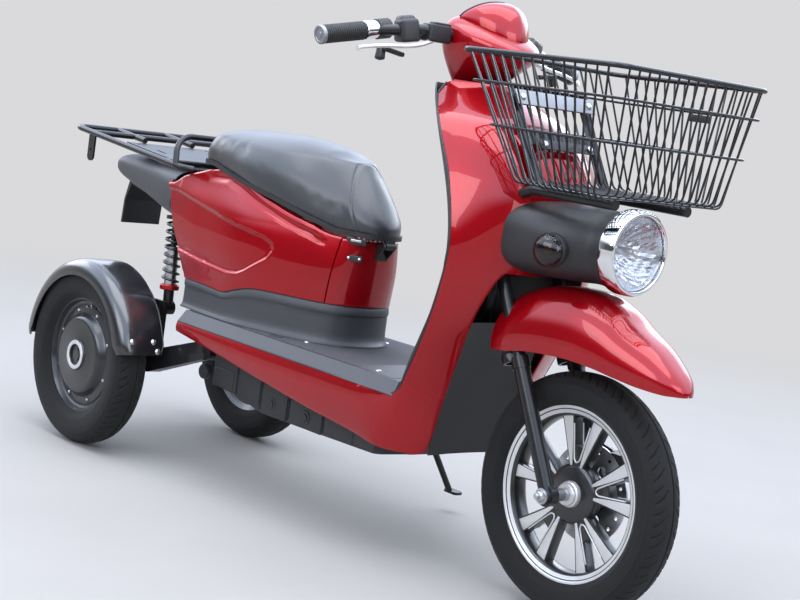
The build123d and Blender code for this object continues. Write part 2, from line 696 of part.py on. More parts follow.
# Seat: plastic pan with its hinge knuckle, and the cushion
# columns: x, height of the pan's underside
PAN_LINE = ((-482, 701), (-390, 697), (-168, 650), (-21, 607), (96, 605))
# columns: x, height of the cushion's top
SEAT_TOP = ((78, 641), (15, 708), (-48, 754), (-110, 774), (-203, 788), (-322, 790), (-440, 782), (-484, 750))
# columns: height, how far the cushion's plan is drawn in there
SEAT_DRAW = ((560, 3), (700, 0), (745, 8), (772, 26), (800, 62))
PAN_T = 10


def seat_plan(inset, height=560):
    """Plan of the seat at a height: wide and round behind, narrow at the nose."""
    with BuildSketch(Plane.XY.offset(height)) as plan:
        with BuildLine():
            ThreePointArc((-440, inset - 142), (-240, inset - 154), (0, inset - 73))
            ThreePointArc((0, inset - 73), (80 - inset, 0), (0, 73 - inset))
            ThreePointArc((0, 73 - inset), (-240, 154 - inset), (-440, 142 - inset))
            ThreePointArc((-440, 142 - inset), (inset - 486, 0), (-440, inset - 142))
        make_face()
    return plan.sketch


with BuildPart() as seat_base:
    add(seat_plan(6))
    extrude(amount=300)
    with BuildSketch(Plane(origin=(0, 0, 0), x_dir=(1, 0, 0), z_dir=(0, -1, 0))):
        with BuildLine():
            Polyline(*PAN_LINE, (130, 605), (130, 605 + PAN_T), *[(x, z + PAN_T) for x, z in reversed(PAN_LINE)],
                     (-520, 701 + PAN_T), (-520, 701), close=True)
        make_face()
    extrude(amount=300, both=True, mode=Mode.INTERSECT)
    with BuildSketch(side_plane(HINGE_X, 0, HINGE_Z)):
        Circle(HINGE_PIN_R + 4)
        with Locations((0, 7)):
            Rectangle(10, 12)
    extrude(amount=HINGE_HALF - 2, both=True)
    with BuildSketch(side_plane(HINGE_X, 0, HINGE_Z)):
        Circle(HINGE_PIN_R + RUN_GAP)
    extrude(amount=HINGE_HALF, both=True, mode=Mode.SUBTRACT)
save(seat_base, "seat_base")

with BuildPart() as seat_cushion:
    for height, inset in SEAT_DRAW:
        add(seat_plan(inset, height))
    loft(ruled=True)
    with BuildSketch(Plane(origin=(0, 0, 0), x_dir=(1, 0, 0), z_dir=(0, -1, 0))):
        with BuildLine():
            lift = PAN_T + SEAT_GAP
            Polyline((-520, 701 + lift), *[(x, z + lift) for x, z in PAN_LINE], (130, 605 + lift), (130, 640),
                     *SEAT_TOP, (-520, 720), close=True)
        make_face()
    extrude(amount=300, both=True, mode=Mode.INTERSECT)
save(seat_cushion, "seat_cushion")

# Swing arms with shock brackets, one each side
# columns: x, middle y, middle height, width, height
ARM = ((-330, 137, PIVOT_Z, 26, 44), (-500, 164, 226, 34, 52), (-668, 190, REAR_TYRE_R - 4, 25, 62))
with BuildPart() as arm_half:
    for x, y, z, width, height in ARM:
        with BuildSketch(Plane(origin=(x, -y, z), x_dir=(0, 1, 0), z_dir=(1, 0, 0))):
            Rectangle(width, height)
    loft(ruled=True)
    with BuildSketch(Plane(origin=(PIVOT_X, -PIVOT_END, PIVOT_Z), z_dir=(0, 1, 0))):
        Circle(PIVOT_R + 8)
    extrude(amount=PIVOT_END - RAIL_Y - 23 - SEAT_GAP)
    with BuildSketch(side_plane(SHOCK_LOW[0], -156, SHOCK_LOW[1] - 58)):
        Rectangle(48, 150)
    extrude(amount=8)
    with BuildSketch(Plane(origin=(SHOCK_LOW[0], -164, SHOCK_LOW[1]), z_dir=(0, 1, 0))):
        Circle(6)
    extrude(amount=40)
    with BuildSketch(Plane(origin=(PIVOT_X, -PIVOT_END - 1, PIVOT_Z), z_dir=(0, 1, 0))):
        Circle(PIVOT_R - 6 + RUN_GAP)
    extrude(amount=60, mode=Mode.SUBTRACT)
    with BuildSketch(Plane(origin=(REAR_AXLE_X, -260, REAR_TYRE_R), z_dir=(0, 1, 0))):
        Circle(REAR_AXLE_R)
    extrude(amount=120, mode=Mode.SUBTRACT)
with BuildPart() as swing_arms:
    add(arm_half.part)
    mirror(arm_half.part, about=Plane.XZ)
save(swing_arms, "swing_arms")

# Rear axle stubs with their spacers
ARM_OUTER = ARM[2][1] + ARM[2][3] / 2
with BuildPart() as rear_axles:
    with BuildSketch(Plane(origin=(REAR_AXLE_X, -ARM_OUTER + 30, REAR_TYRE_R), z_dir=(0, -1, 0))):
        Circle(REAR_AXLE_R)
    extrude(amount=REAR_HALF_TRACK + 8 - ARM_OUTER + 30)
    with BuildSketch(Plane(origin=(REAR_AXLE_X, -ARM_OUTER - SEAT_GAP, REAR_TYRE_R), z_dir=(0, -1, 0))):
        Circle(17)
    extrude(amount=REAR_HALF_TRACK - MOTOR_HALF - 2 * SEAT_GAP - ARM_OUTER)
    mirror(about=Plane.XZ)
save(rear_axles, "rear_axles")

# Rear shock absorbers: dampers, and springs as open coils on them
SPRING_R = 18
SPRING_TURNS = 9
shock_line = Vector(SHOCK_TOP[0] - SHOCK_LOW[0], 0, SHOCK_TOP[1] - SHOCK_LOW[1])
shock_plane = Plane(origin=(SHOCK_LOW[0], -SHOCK_Y, SHOCK_LOW[1]), z_dir=shock_line.normalized())
with BuildPart() as shock_dampers:
    for start, length, radius in ((8, 40, 12), (44, 8, 22), (48, shock_line.length - 60, 7),
                                  (shock_line.length - 36, 8, 22), (shock_line.length - 30, 20, 11)):
        with BuildSketch(shock_plane.offset(start)):
            Circle(radius)
        extrude(amount=length)
    for eye_x, eye_z, bore in ((*SHOCK_LOW, 6), (*SHOCK_TOP, 9)):
        with BuildSketch(Plane(origin=(eye_x, -SHOCK_Y - 12, eye_z), z_dir=(0, 1, 0))):
            Circle(16)
        extrude(amount=24)
        with BuildSketch(Plane(origin=(eye_x, -SHOCK_Y - 20, eye_z), z_dir=(0, 1, 0))):
            Circle(bore + RUN_GAP)
        extrude(amount=40, mode=Mode.SUBTRACT)
    mirror(about=Plane.XZ)
save(shock_dampers, "shock_dampers")

spring_low = 52 + SEAT_GAP
spring_high = shock_line.length - 36 - SEAT_GAP
with BuildPart() as shock_springs:
    pitch = (spring_high - spring_low) / SPRING_TURNS
    with BuildSketch(Plane(origin=shock_plane.origin, x_dir=(0, 1, 0),
                           z_dir=Vector(0, 1, 0).cross(shock_plane.z_dir))):
        with BuildLine():
            teeth = []
            for turn in range(SPRING_TURNS):
                teeth += [(SPRING_R - 2, spring_low + turn * pitch), (SPRING_R + 3, spring_low + (turn + 0.5) * pitch)]
            Polyline((SPRING_R - 5, spring_low), *teeth, (SPRING_R - 2, spring_high), (SPRING_R - 5, spring_high),
                     close=True)
        make_face()
    revolve(axis=Axis(shock_plane.origin, shock_plane.z_dir))
    mirror(about=Plane.XZ)
save(shock_springs, "shock_springs")

# Rear mudguards: a rolled skin with an outer valance
GUARD_R = 225
GUARD_IN = 222
STAY_Y = -187
guard_start = Vector(-cos(radians(3)), 0, sin(radians(3)))
guard_outline = [(GUARD_IN, -61), (GUARD_R, -61), (GUARD_R, 36), (GUARD_R - 12, 50), (186, 52), (186, 49),
                 (GUARD_IN - 11, 47), (GUARD_IN, 35)]
with BuildPart() as rear_fenders:
    add(turned([(r, -y) for r, y in guard_outline], REAR_AXLE_X, -REAR_HALF_TRACK, REAR_TYRE_R, 165,
               tuple(guard_start)))
    stay_low = 239.5
    stay_high = REAR_TYRE_R + GUARD_R - 1
    with BuildSketch(side_plane(REAR_AXLE_X + 9, STAY_Y, (stay_low + stay_high) / 2)):
        Rectangle(40, stay_high - stay_low)
    extrude(amount=SKIN)
    mirror(about=Plane.XZ)
save(rear_fenders, "rear_fenders")

# Handlebar with grips, controls and levers
HEAD_X = on_axis(1000)
# columns: x, y, z from the middle to the right end
BAR_HALF_LINE = ((HEAD_X + 21, -60, 1040), (HEAD_X + 9, -140, 1044), (HEAD_X - 49, -238, 1027),
                 (HEAD_X - 55, -345, 1004))
bar_line = [(x, -y, z) for x, y, z in reversed(BAR_HALF_LINE)] + list(BAR_HALF_LINE)
bar_solid = bar(bar_line, 22, BAR_R)
with BuildPart() as handlebar:
    add(bar_solid)
save(handlebar, "handlebar")

grip_line = Vector(*BAR_HALF_LINE[3]) - Vector(*BAR_HALF_LINE[2])
grip_way = grip_line.normalized()
throttle_line = Vector(*BAR_HALF_LINE[2]) - Vector(*BAR_HALF_LINE[1])
throttle_way = throttle_line.normalized()


def sleeve(start, way, length, outer, bore):
    """A tube of a given length from a point along a direction."""
    with BuildPart() as piece:
        with BuildSketch(Plane(origin=start, z_dir=way)):
            Circle(outer)
            Circle(bore, mode=Mode.SUBTRACT)
        extrude(amount=length)
    return piece.part


with BuildPart() as grips:
    add(sleeve(Vector(*BAR_HALF_LINE[2]) + grip_way * 16, grip_way, grip_line.length - 14, GRIP_R, BAR_R))
    with BuildSketch(Plane(origin=Vector(*BAR_HALF_LINE[3]) + grip_way * SEAT_GAP, z_dir=grip_way)):
        Circle(GRIP_R - 1)
    extrude(amount=5)
    mirror(about=Plane.XZ)
save(grips, "grips")

LEVER_PIVOT = Vector(HEAD_X + 21, -176, 1010)
LEVER_END = (HEAD_X + 5, -302, 986)
with BuildPart() as switch_gear:
    add(sleeve(Vector(*BAR_HALF_LINE[1]) + throttle_way * 62, throttle_way, 34, 24, BAR_R))
    add(sleeve(Vector(*BAR_HALF_LINE[1]) + throttle_way * 20, throttle_way, 34, 19, BAR_R))
    with BuildSketch(Plane(origin=LEVER_PIVOT + Vector(-22, 0, 10), z_dir=Vector(22, 0, -10))):
        Rectangle(30, 22)
    extrude(amount=32)
    add(bar_solid, mode=Mode.SUBTRACT)
    mirror(about=Plane.XZ)
save(switch_gear, "switch_gear")

with BuildPart() as levers:
    add(bar([tuple(LEVER_PIVOT + Vector(12, 4, -4)), (HEAD_X + 31, -215, 1000), LEVER_END], 20, 5))
    with BuildSketch(Plane(origin=LEVER_PIVOT + Vector(12, 4, -8), z_dir=(0, 0, 1))):
        Circle(8)
    extrude(amount=8)
    with BuildSketch(Plane(origin=LEVER_END, z_dir=(0, -1, 0))):
        Circle(7)
    extrude(amount=8)
    add(switch_gear.part, mode=Mode.SUBTRACT)
    mirror(about=Plane.XZ)
save(levers, "levers")

# Steering stem with its lower yoke and the clamp that holds the handlebar
YOKE_T = 20
RISER_R = 13
YOKE_Z = HEAD_BOTTOM_Z - YOKE_T * cos(lean) - 1
yoke_plane = across_axis(YOKE_Z)
with BuildPart() as steering_stem:
    with BuildSketch(yoke_plane):
        with BuildLine():
            Polyline((-24, -20), (14, -FORK_HALF - 18), (STEER_OFFSET + 17, -FORK_HALF - 18),
                     (STEER_OFFSET + 17, -40), (24, -16), (24, 16), (STEER_OFFSET + 17, 40),
                     (STEER_OFFSET + 17, FORK_HALF + 18), (14, FORK_HALF + 18), (-24, 20), close=True)
        make_face()
        with Locations((STEER_OFFSET, -FORK_HALF), (STEER_OFFSET, FORK_HALF)):
            Circle(STANCHION_R, mode=Mode.SUBTRACT)
    extrude(amount=YOKE_T)
    with BuildSketch(yoke_plane):
        Circle(STEM_R)
    extrude(amount=axis_length(YOKE_Z, 992))
    add(bar([(on_axis(976), 0, 976), (on_axis(976) + 10, 0, 1042)], 0, RISER_R))
    add(bar([(HEAD_X + 5, 0, 1036), (HEAD_X + 29, 0, 1042)], 0, 17))
    add(bar_solid, mode=Mode.SUBTRACT)
save(steering_stem, "steering_stem")

# Fork legs: upper tubes, sliders, collars and axle lugs
LEG_TOP_Z = YOKE_Z + YOKE_T * cos(lean) + STEER_OFFSET * sin(lean)
COLLAR_Z = 446


def leg_plane(z):
    """Plane square to the right fork leg where its axis reaches a height."""
    return Plane(origin=(on_axis(z, STEER_OFFSET), -FORK_HALF, z), x_dir=(cos(lean), 0, sin(lean)), z_dir=up_axis)


with BuildPart() as fork_legs:
    for low, high, radius in ((FRONT_TYRE_R, COLLAR_Z, SLIDER_R), (COLLAR_Z - 4, COLLAR_Z + 16, SLIDER_R + 2),
                              (COLLAR_Z + 10, LEG_TOP_Z, STANCHION_R)):
        with BuildSketch(leg_plane(low)):
            Circle(radius)
        extrude(amount=axis_length(low, high))
    with BuildSketch(side_plane(FRONT_AXLE_X, -FORK_HALF + 9, FRONT_TYRE_R)):
        Circle(20)
    extrude(amount=18)
    with BuildSketch(side_plane(FRONT_AXLE_X, 0, FRONT_TYRE_R)):
        Circle(AXLE_R)
    extrude(amount=120, mode=Mode.SUBTRACT)
    mirror(about=Plane.XZ)
save(fork_legs, "fork_legs")

# Front axle with spacers and nuts
leg_inner = FORK_HALF - 9
leg_outer = FORK_HALF + SLIDER_R
with BuildPart() as front_axle:
    with BuildSketch(side_plane(FRONT_AXLE_X, 0, FRONT_TYRE_R)):
        Circle(AXLE_R)
    extrude(amount=leg_outer + 15, both=True)
    for start, length, radius in ((HUB_HALF + SEAT_GAP, leg_inner - HUB_HALF - SEAT_GAP, 12),
                                  (-leg_inner, leg_inner - DISC_Y - DISC_T - SEAT_GAP, 12),
                                  (FORK_HALF + 9, 12, 12), (-FORK_HALF - 21, 12, 12)):
        with BuildSketch(side_plane(FRONT_AXLE_X, -start, FRONT_TYRE_R)):
            Circle(radius)
        extrude(amount=length)
    add(fork_legs.part, mode=Mode.SUBTRACT)
save(front_axle, "front_axle")

# Brake caliper on the left fork leg, open over the disc
CALIPER_X = FRONT_AXLE_X + 58
CALIPER_Z = FRONT_TYRE_R + 66
with BuildPart() as brake_caliper:
    with BuildSketch(side_plane(CALIPER_X, 62, CALIPER_Z)):
        RectangleRounded(62, 48, 8)
    extrude(amount=38)
    with BuildSketch(side_plane(CALIPER_X, 62, CALIPER_Z)):
        with BuildLine():
            Polyline((-20, 20), (-110, 40), (-110, 16), (-20, -20), close=True)
        make_face()
    extrude(amount=8)
    with BuildSketch(side_plane(FRONT_AXLE_X, DISC_Y + DISC_T + 5, FRONT_TYRE_R)):
        Circle(DISC_R + 5)
    extrude(amount=DISC_T + 10 + 20, mode=Mode.SUBTRACT)
    add(fork_legs.part, mode=Mode.SUBTRACT)
save(brake_caliper, "brake_caliper")

# Front mudguard: arched sections from its rear edge to its tip
# columns: x ahead of the axle, half width, height of the lower edge, of the shoulder and of the crown
GUARD = (
    (-190, 84, 464, 536, 560),
    (-145, 91, 471, 560, 588),
    (-90, 89, 480, 576, 606),
    (-10, 82, 483, 574, 608),
    (90, 74, 473, 532, 567),
    (160, 60, 463, 494, 528),
    (196, 44, 461, 482, 501),
    (222, 16, 461, 468, 478),
)


def guard_section(x, half, lower, shoulder, crown, inset):
    """One arched cross-section of the mudguard, closed along its lower edge."""
    with BuildSketch(Plane(origin=(FRONT_AXLE_X + x, 0, 0), x_dir=(0, 1, 0), z_dir=(1, 0, 0))) as section:
        with BuildLine():
            edge = half - inset
            Polyline((-edge, shoulder - inset), (-edge, lower - 2 * inset), (edge, lower - 2 * inset),
                     (edge, shoulder - inset))
            ThreePointArc((edge, shoulder - inset), (0, crown - inset), (-edge, shoulder - inset))
        make_face()
    return section.sketch


def guard_block(rows, inset):
    """The mudguard's solid block, drawn in by an inset."""
    with BuildPart() as block:
        for row in rows:
            add(guard_section(*row, inset=inset))
        loft(ruled=True)
    return block.part


guard_inner_rows = ((GUARD[0][0] - 10, *GUARD[0][1:]), *GUARD[1:-1], (GUARD[-1][0] - 4, *GUARD[-1][1:]))
with BuildPart() as front_fender:
    add(guard_block(GUARD, 0))
    add(guard_block(guard_inner_rows, SKIN), mode=Mode.SUBTRACT)
    for side in (-1, 1):
        with BuildSketch(Plane(origin=(on_axis(COLLAR_Z, STEER_OFFSET), side * FORK_HALF, COLLAR_Z), z_dir=up_axis)):
            Circle(STANCHION_R + 1)
        extrude(amount=axis_length(COLLAR_Z, 640), mode=Mode.SUBTRACT)
save(front_fender, "front_fender")

# Handlebar cowl: a hollow cover round the clamp, open below
# columns: x ahead of the steering head, height
COWL = ((-7, 966), (97, 1020), (115, 1040), (81, 1088), (59, 1118), (23, 1112), (-3, 1070), (-13, 1000))
COWL_INNER = ((-15, 948), (92, 1004), (111, 1041), (78, 1086), (57, 1115), (25, 1109), (0, 1069), (-10, 1000))
COWL_HALF = 68
COWL_LOW_Z = 918
COWL_HIGH_Z = 1118
NECK_R = 36
NECK_TOP_Z = 1000


def cowl_block(outline, half, corner):
    """The cowl's solid block with rounded shoulders."""
    with BuildPart() as block:
        with BuildSketch(side_plane(0, 0, 0)):
            with BuildLine():
                Polyline(*[(HEAD_X + x, z) for x, z in outline], close=True)
            make_face()
        extrude(amount=half, both=True)
        with BuildSketch(Plane(origin=(HEAD_X - 60, 0, 0), x_dir=(0, 1, 0), z_dir=(1, 0, 0))):
            with Locations((0, (COWL_LOW_Z + COWL_HIGH_Z - corner) / 2)):
                RectangleRounded(2 * half, COWL_HIGH_Z - COWL_LOW_Z - corner, 55)
        extrude(amount=250, mode=Mode.INTERSECT)
    return block.part


with BuildPart() as cowl:
    add(cowl_block(COWL, COWL_HALF, 0))
    add(cowl_block(COWL_INNER, COWL_HALF - SKIN, 2 * SKIN), mode=Mode.SUBTRACT)
    add(sleeve(across_axis(932).origin, up_axis, axis_length(932, NECK_TOP_Z), NECK_R, NECK_R - SKIN))
    add(bar(bar_line, 22, BAR_R + SEAT_GAP), mode=Mode.SUBTRACT)
    add(bar([(on_axis(976), 0, 976), (on_axis(976) + 10, 0, 1042)], 0, RISER_R + 2), mode=Mode.SUBTRACT)
save(cowl, "cowl")

# Housing between the leg shield and the headlamp
# columns: x, middle height, half width, height, corner radius
HOUSING = ((470, 686, 130, 141, 30), (530, 686, 130, 141, 30), (640, 689, 112, 142, 45), (716, 690, 74, 147, 72))
LAMP_Z = 690
LAMP_R = 78
LAMP_X = HOUSING[-1][0] + SEAT_GAP
SHIELD_CLEAR = 0.8
with BuildPart() as shield_block:
    for height, edge_x, half, middle_x in SHIELD:
        with BuildSketch(Plane.XY.offset(height)):
            with BuildLine():
                face_x = edge_x + SHIELD_CLEAR
                ThreePointArc((face_x, -half), (middle_x + SHIELD_CLEAR, 0), (face_x, half))
                Polyline((face_x, half), (100, half), (100, -half), (face_x, -half))
            make_face()
    loft()

with BuildPart() as nose_housing:
    add(cross_loft(HOUSING))
    add(cross_loft([*HOUSING[:-1], (HOUSING[-1][0] - SKIN, *HOUSING[-1][1:])], inset=SKIN), mode=Mode.SUBTRACT)
    add(shield_block.part, mode=Mode.SUBTRACT)
save(nose_housing, "nose_housing")

# Headlamp: bowl with its ring, and the lens
lamp_plane = Plane(origin=(0, 0, LAMP_Z), x_dir=(1, 0, 0), z_dir=(0, -1, 0))
lamp_axis = Axis((0, 0, LAMP_Z), (1, 0, 0))
with BuildPart() as headlamp_shell:
    with BuildSketch(lamp_plane):
        with BuildLine():
            Polyline((LAMP_X, 0), (LAMP_X, LAMP_R - 6), (LAMP_X + 6, LAMP_R), (LAMP_X + 31, LAMP_R),
                     (LAMP_X + 35, LAMP_R - 3), (LAMP_X + 35, LAMP_R - 8), (LAMP_X + 21, LAMP_R - 8),
                     (LAMP_X + 10, 40), (LAMP_X + 5, 0), close=True)
        make_face()
    revolve(axis=lamp_axis)
save(headlamp_shell, "headlamp_shell")

with BuildPart() as headlamp_lens:
    with BuildSketch(lamp_plane):
        with BuildLine():
            lens_r = LAMP_R - 8 - SEAT_GAP
            Polyline((LAMP_X + 23, 0), (LAMP_X + 23, lens_r), (LAMP_X + 27, lens_r), (LAMP_X + 33, lens_r * 0.7),
                     (LAMP_X + 37, lens_r * 0.35), (LAMP_X + 38, 0), close=True)
        make_face()
    revolve(axis=lamp_axis)
save(headlamp_lens, "headlamp_lens")

# Front indicators on the housing's sides
with BuildPart() as indicators:
    with BuildSketch(side_plane(634, -100, 674)):
        Circle(33)
    extrude(amount=33)
    fillet(indicators.edges().filter_by(GeomType.CIRCLE).sort_by(Axis.Y)[0], 14)
    add(cross_loft(HOUSING), mode=Mode.SUBTRACT)
    mirror(about=Plane.XZ)
save(indicators, "indicators")

# Wire basket over the housing
BASKET_TOP_Z = 1013
BASKET_FLOOR_Z = 789
RIM_R = 5
WIRE = 4.5
# columns: height, rear x, front x, rear half width, front half width
BASKET = ((BASKET_TOP_Z, 433, 821, 217, 210), (959, 465, 814, 207, 202), (883, 511, 803, 193, 190),
          (BASKET_FLOOR_Z, 568, 790, 175, 175))


def basket_ring(row, radius, corner):
    """A closed round wire at one height of the basket."""
    height, rear_x, front_x, rear_half, front_half = row
    with BuildPart() as ring:
        with BuildLine() as path:
            FilletPolyline((rear_x, -rear_half, height), (front_x, -front_half, height),
                           (front_x, front_half, height), (rear_x, rear_half, height), radius=corner, close=True)
        with BuildSketch(Plane(origin=path.line @ 0, z_dir=path.line % 0)):
            Circle(radius)
        sweep()
    return ring.part


def strut(start, end, width):
    """A straight square wire between two points."""
    run = Vector(*end) - Vector(*start)
    with BuildPart() as piece:
        with BuildSketch(Plane(origin=start, z_dir=run)):
            Rectangle(width, width)
        extrude(amount=run.length)
    return piece.part


def between(low, high, share):
    """A value part of the way from one number to another."""
    return low + (high - low) * share


SIDE_WIRES = 12
END_WIRES = 13
top_z, top_rear, top_front, top_rear_half, top_front_half = BASKET[0]
low_z, low_rear, low_front, low_rear_half, low_front_half = BASKET[-1]
with BuildPart() as basket:
    for row, radius in zip(BASKET, (RIM_R, 3, 3, 3)):
        add(basket_ring(row, radius, 26))
    for count in range(1, SIDE_WIRES + 1):
        share = count / (SIDE_WIRES + 1)
        for side in (-1, 1):
            top = (between(top_rear, top_front, share), side * between(top_rear_half, top_front_half, share), top_z)
            low = (between(low_rear, low_front, share), side * between(low_rear_half, low_front_half, share), low_z)
            add(strut(top, low, WIRE))
        x = between(low_rear, low_front, share)
        if count % 2:
            add(strut((x, -low_rear_half, low_z), (x, low_rear_half, low_z), WIRE))
    for count in range(1, END_WIRES + 1):
        share = count / (END_WIRES + 1)
        top_y = between(-1, 1, share)
        for top_x, low_x, top_half in ((top_rear, low_rear, top_rear_half), (top_front, low_front, top_front_half)):
            add(strut((top_x, top_y * top_half, top_z), (low_x, top_y * low_rear_half, low_z), WIRE))
        if count % 2 == 0:
            add(strut((low_rear, top_y * low_rear_half, low_z), (low_front, top_y * low_rear_half, low_z), WIRE))
save(basket, "basket")

# Basket carrier: two tubes under it, two uprights and two plates behind it
CARRIER_Y = 100
CARRIER_R = 10
CARRIER_Z = BASKET_FLOOR_Z - WIRE / 2 - SEAT_GAP - CARRIER_R - 1
rear_way = Vector(low_rear - top_rear, 0, low_z - top_z).normalized()
rear_out = Vector(-rear_way.Z, 0, rear_way.X) * -1
with BuildPart() as basket_carrier:
    for side in (-1, 1):
        add(bar([(470, side * CARRIER_Y, 742), (560, side * CARRIER_Y, CARRIER_Z), (763, side * CARRIER_Y, CARRIER_Z)],
                22, CARRIER_R))
        foot = Vector(low_rear + 6, side * (CARRIER_Y - 6), low_z - 8)
        with BuildSketch(Plane(origin=foot - rear_out * -8, x_dir=(0, 1, 0), z_dir=rear_way * -1)):
            Rectangle(22, 5)
        extrude(amount=218)
    for along, height in ((176, 34), (92, 26)):
        middle = Vector(low_rear + 6, 0, low_z - 8) - rear_out * -8 - rear_way * along
        with BuildSketch(Plane(origin=middle, x_dir=(0, 1, 0), z_dir=rear_way * -1)):
            Rectangle(2 * CARRIER_Y + 8, 5)
        extrude(amount=height)
    add(shield_block.part, mode=Mode.SUBTRACT)
    add(Pos(SHIELD_CLEAR, 0, 0) * leg_shield.part, mode=Mode.SUBTRACT)
save(basket_carrier, "basket_carrier")

# Side stand under the left of the belly
foot_end = Vector(76, 278, 52)
stand_start = Vector(*STAND_PIVOT)
with BuildPart() as side_stand:
    with BuildSketch(Plane(origin=stand_start - stand_axis * (4 - SEAT_GAP), z_dir=stand_axis)):
        Circle(13)
    extrude(amount=12)
    add(bar([tuple(stand_start + stand_axis * 5), tuple(foot_end)], 0, 7))
    with BuildSketch(Plane(origin=foot_end + Vector(0, 12, 0), x_dir=(1, 0, 0), z_dir=(0, 0, -1))):
        RectangleRounded(44, 26, 10)
    extrude(amount=6)
    with BuildSketch(Plane(origin=stand_start - stand_axis * 14, z_dir=stand_axis)):
        Circle(5 + RUN_GAP)
    extrude(amount=30, mode=Mode.SUBTRACT)
save(side_stand, "side_stand")
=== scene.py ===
# %% [markdown]
# # An electric tricycle, dressed round its CAD frame
# The CAD model gives every solid its size and place. This lesson adds what a camera sees: smooth
# painted panels, a stuffed seat, tyre tread, wire, lamps and the finish of each material. The
# cells go in the order a maker would work: light and camera first, then paint, then the pieces.
# Each new piece rides on one body of the machine, so it follows when a wheel turns or the seat lifts.

import json
import math

import bpy
from mathutils import Matrix, Vector


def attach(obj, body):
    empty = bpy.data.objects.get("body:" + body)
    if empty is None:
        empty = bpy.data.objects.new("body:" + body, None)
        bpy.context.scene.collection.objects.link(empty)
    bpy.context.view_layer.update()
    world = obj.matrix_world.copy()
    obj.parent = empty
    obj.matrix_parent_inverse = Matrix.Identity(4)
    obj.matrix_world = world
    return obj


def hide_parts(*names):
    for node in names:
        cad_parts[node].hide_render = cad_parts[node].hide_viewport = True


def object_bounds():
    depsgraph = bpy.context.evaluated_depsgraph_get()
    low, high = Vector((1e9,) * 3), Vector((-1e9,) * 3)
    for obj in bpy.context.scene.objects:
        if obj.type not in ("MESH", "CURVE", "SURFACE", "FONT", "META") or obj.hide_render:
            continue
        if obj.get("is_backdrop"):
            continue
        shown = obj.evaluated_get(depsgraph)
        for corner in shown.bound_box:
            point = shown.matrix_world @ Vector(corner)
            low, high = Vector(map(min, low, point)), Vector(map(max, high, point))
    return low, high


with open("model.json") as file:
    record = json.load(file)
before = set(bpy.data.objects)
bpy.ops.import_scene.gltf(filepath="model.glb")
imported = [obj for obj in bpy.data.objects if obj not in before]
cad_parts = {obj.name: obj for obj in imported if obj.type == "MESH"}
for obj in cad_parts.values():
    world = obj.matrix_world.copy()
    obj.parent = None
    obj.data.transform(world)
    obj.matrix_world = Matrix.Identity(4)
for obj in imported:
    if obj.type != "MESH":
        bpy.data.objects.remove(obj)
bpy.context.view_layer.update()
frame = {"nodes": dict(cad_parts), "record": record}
MM = 0.001


def deselect():
    """Leave nothing selected, so that the next operator acts on its own piece only."""
    if bpy.context.object and bpy.context.object.mode != "OBJECT":
        bpy.ops.object.mode_set(mode="OBJECT")
    bpy.ops.object.select_all(action="DESELECT")


deselect()

# %% [markdown]
# ## Camera
# The photograph was taken from ahead and to the right with a long lens and a slight roll. A camera
# can be aimed with a constraint, but that gives no roll, so it is placed by a matrix whose columns
# are its right, its up and its backward direction.

# %% Camera
PHOTO_WIDTH = 800
FOCAL_PIXELS = 1684.5
camera_place = Vector((2.724, -2.342, 0.910))
camera_ahead = Vector((-0.737, 0.665, -0.119)).normalized()
camera_right = Vector((0.651, 0.746, 0.142))
camera_right = (camera_right - camera_ahead * camera_right.dot(camera_ahead)).normalized()
camera_up = camera_right.cross(camera_ahead)
bpy.ops.object.camera_add()
camera = bpy.context.object
camera.name = "photo_camera"
turn = Matrix((camera_right, camera_up, -camera_ahead)).transposed()
camera.matrix_world = Matrix.Translation(camera_place) @ turn.to_4x4()
camera.data.sensor_width = 36
camera.data.lens = FOCAL_PIXELS / PHOTO_WIDTH * camera.data.sensor_width
camera.data.clip_end = 200
bpy.context.scene.camera = camera
print("lens", round(camera.data.lens, 1))

# %% [markdown]
# ## Studio
# Gloss paint is only as good as what it mirrors. Out of doors that is a bright sky above, a pale
# wall behind and darker things near the ground. An image of a sky could do it, but a few steps
# between plain colours are enough. Only glossy rays see those steps: the camera sees a plain pale
# backdrop, and large soft lamps light the object. The floor fades into the backdrop's colour, so
# that no horizon shows.

# %% World
PALE = (0.70, 0.70, 0.715, 1)
scene = bpy.context.scene
scene.view_settings.view_transform = "Standard"
world = bpy.data.worlds.new("studio_world")
scene.world = world
world.use_nodes = True
world_tree = world.node_tree
links = world_tree.links
fill_sky = world_tree.nodes["Background"]
fill_sky.inputs["Color"].default_value = (0.84, 0.90, 1.0, 1)
fill_sky.inputs["Strength"].default_value = 0.42
way_out = world_tree.nodes.new("ShaderNodeTexCoord")
split = world_tree.nodes.new("ShaderNodeSeparateXYZ")
links.new(way_out.outputs["Generated"], split.inputs["Vector"])


def world_step(value, low, high):
    """A smooth step of a value in the world's shader."""
    step = world_tree.nodes.new("ShaderNodeMapRange")
    step.interpolation_type = "SMOOTHSTEP"
    step.inputs["From Min"].default_value = low
    step.inputs["From Max"].default_value = high
    links.new(value, step.inputs["Value"])
    return step.outputs["Result"]


def world_mix(share, one, other):
    """Two colours of the world's shader mixed by a share."""
    mix = world_tree.nodes.new("ShaderNodeMix")
    mix.data_type = "RGBA"
    links.new(share, mix.inputs["Factor"])
    for socket, colour in ((mix.inputs[6], one), (mix.inputs[7], other)):
        if isinstance(colour, tuple):
            socket.default_value = colour
        else:
            links.new(colour, socket)
    return mix.outputs[2]


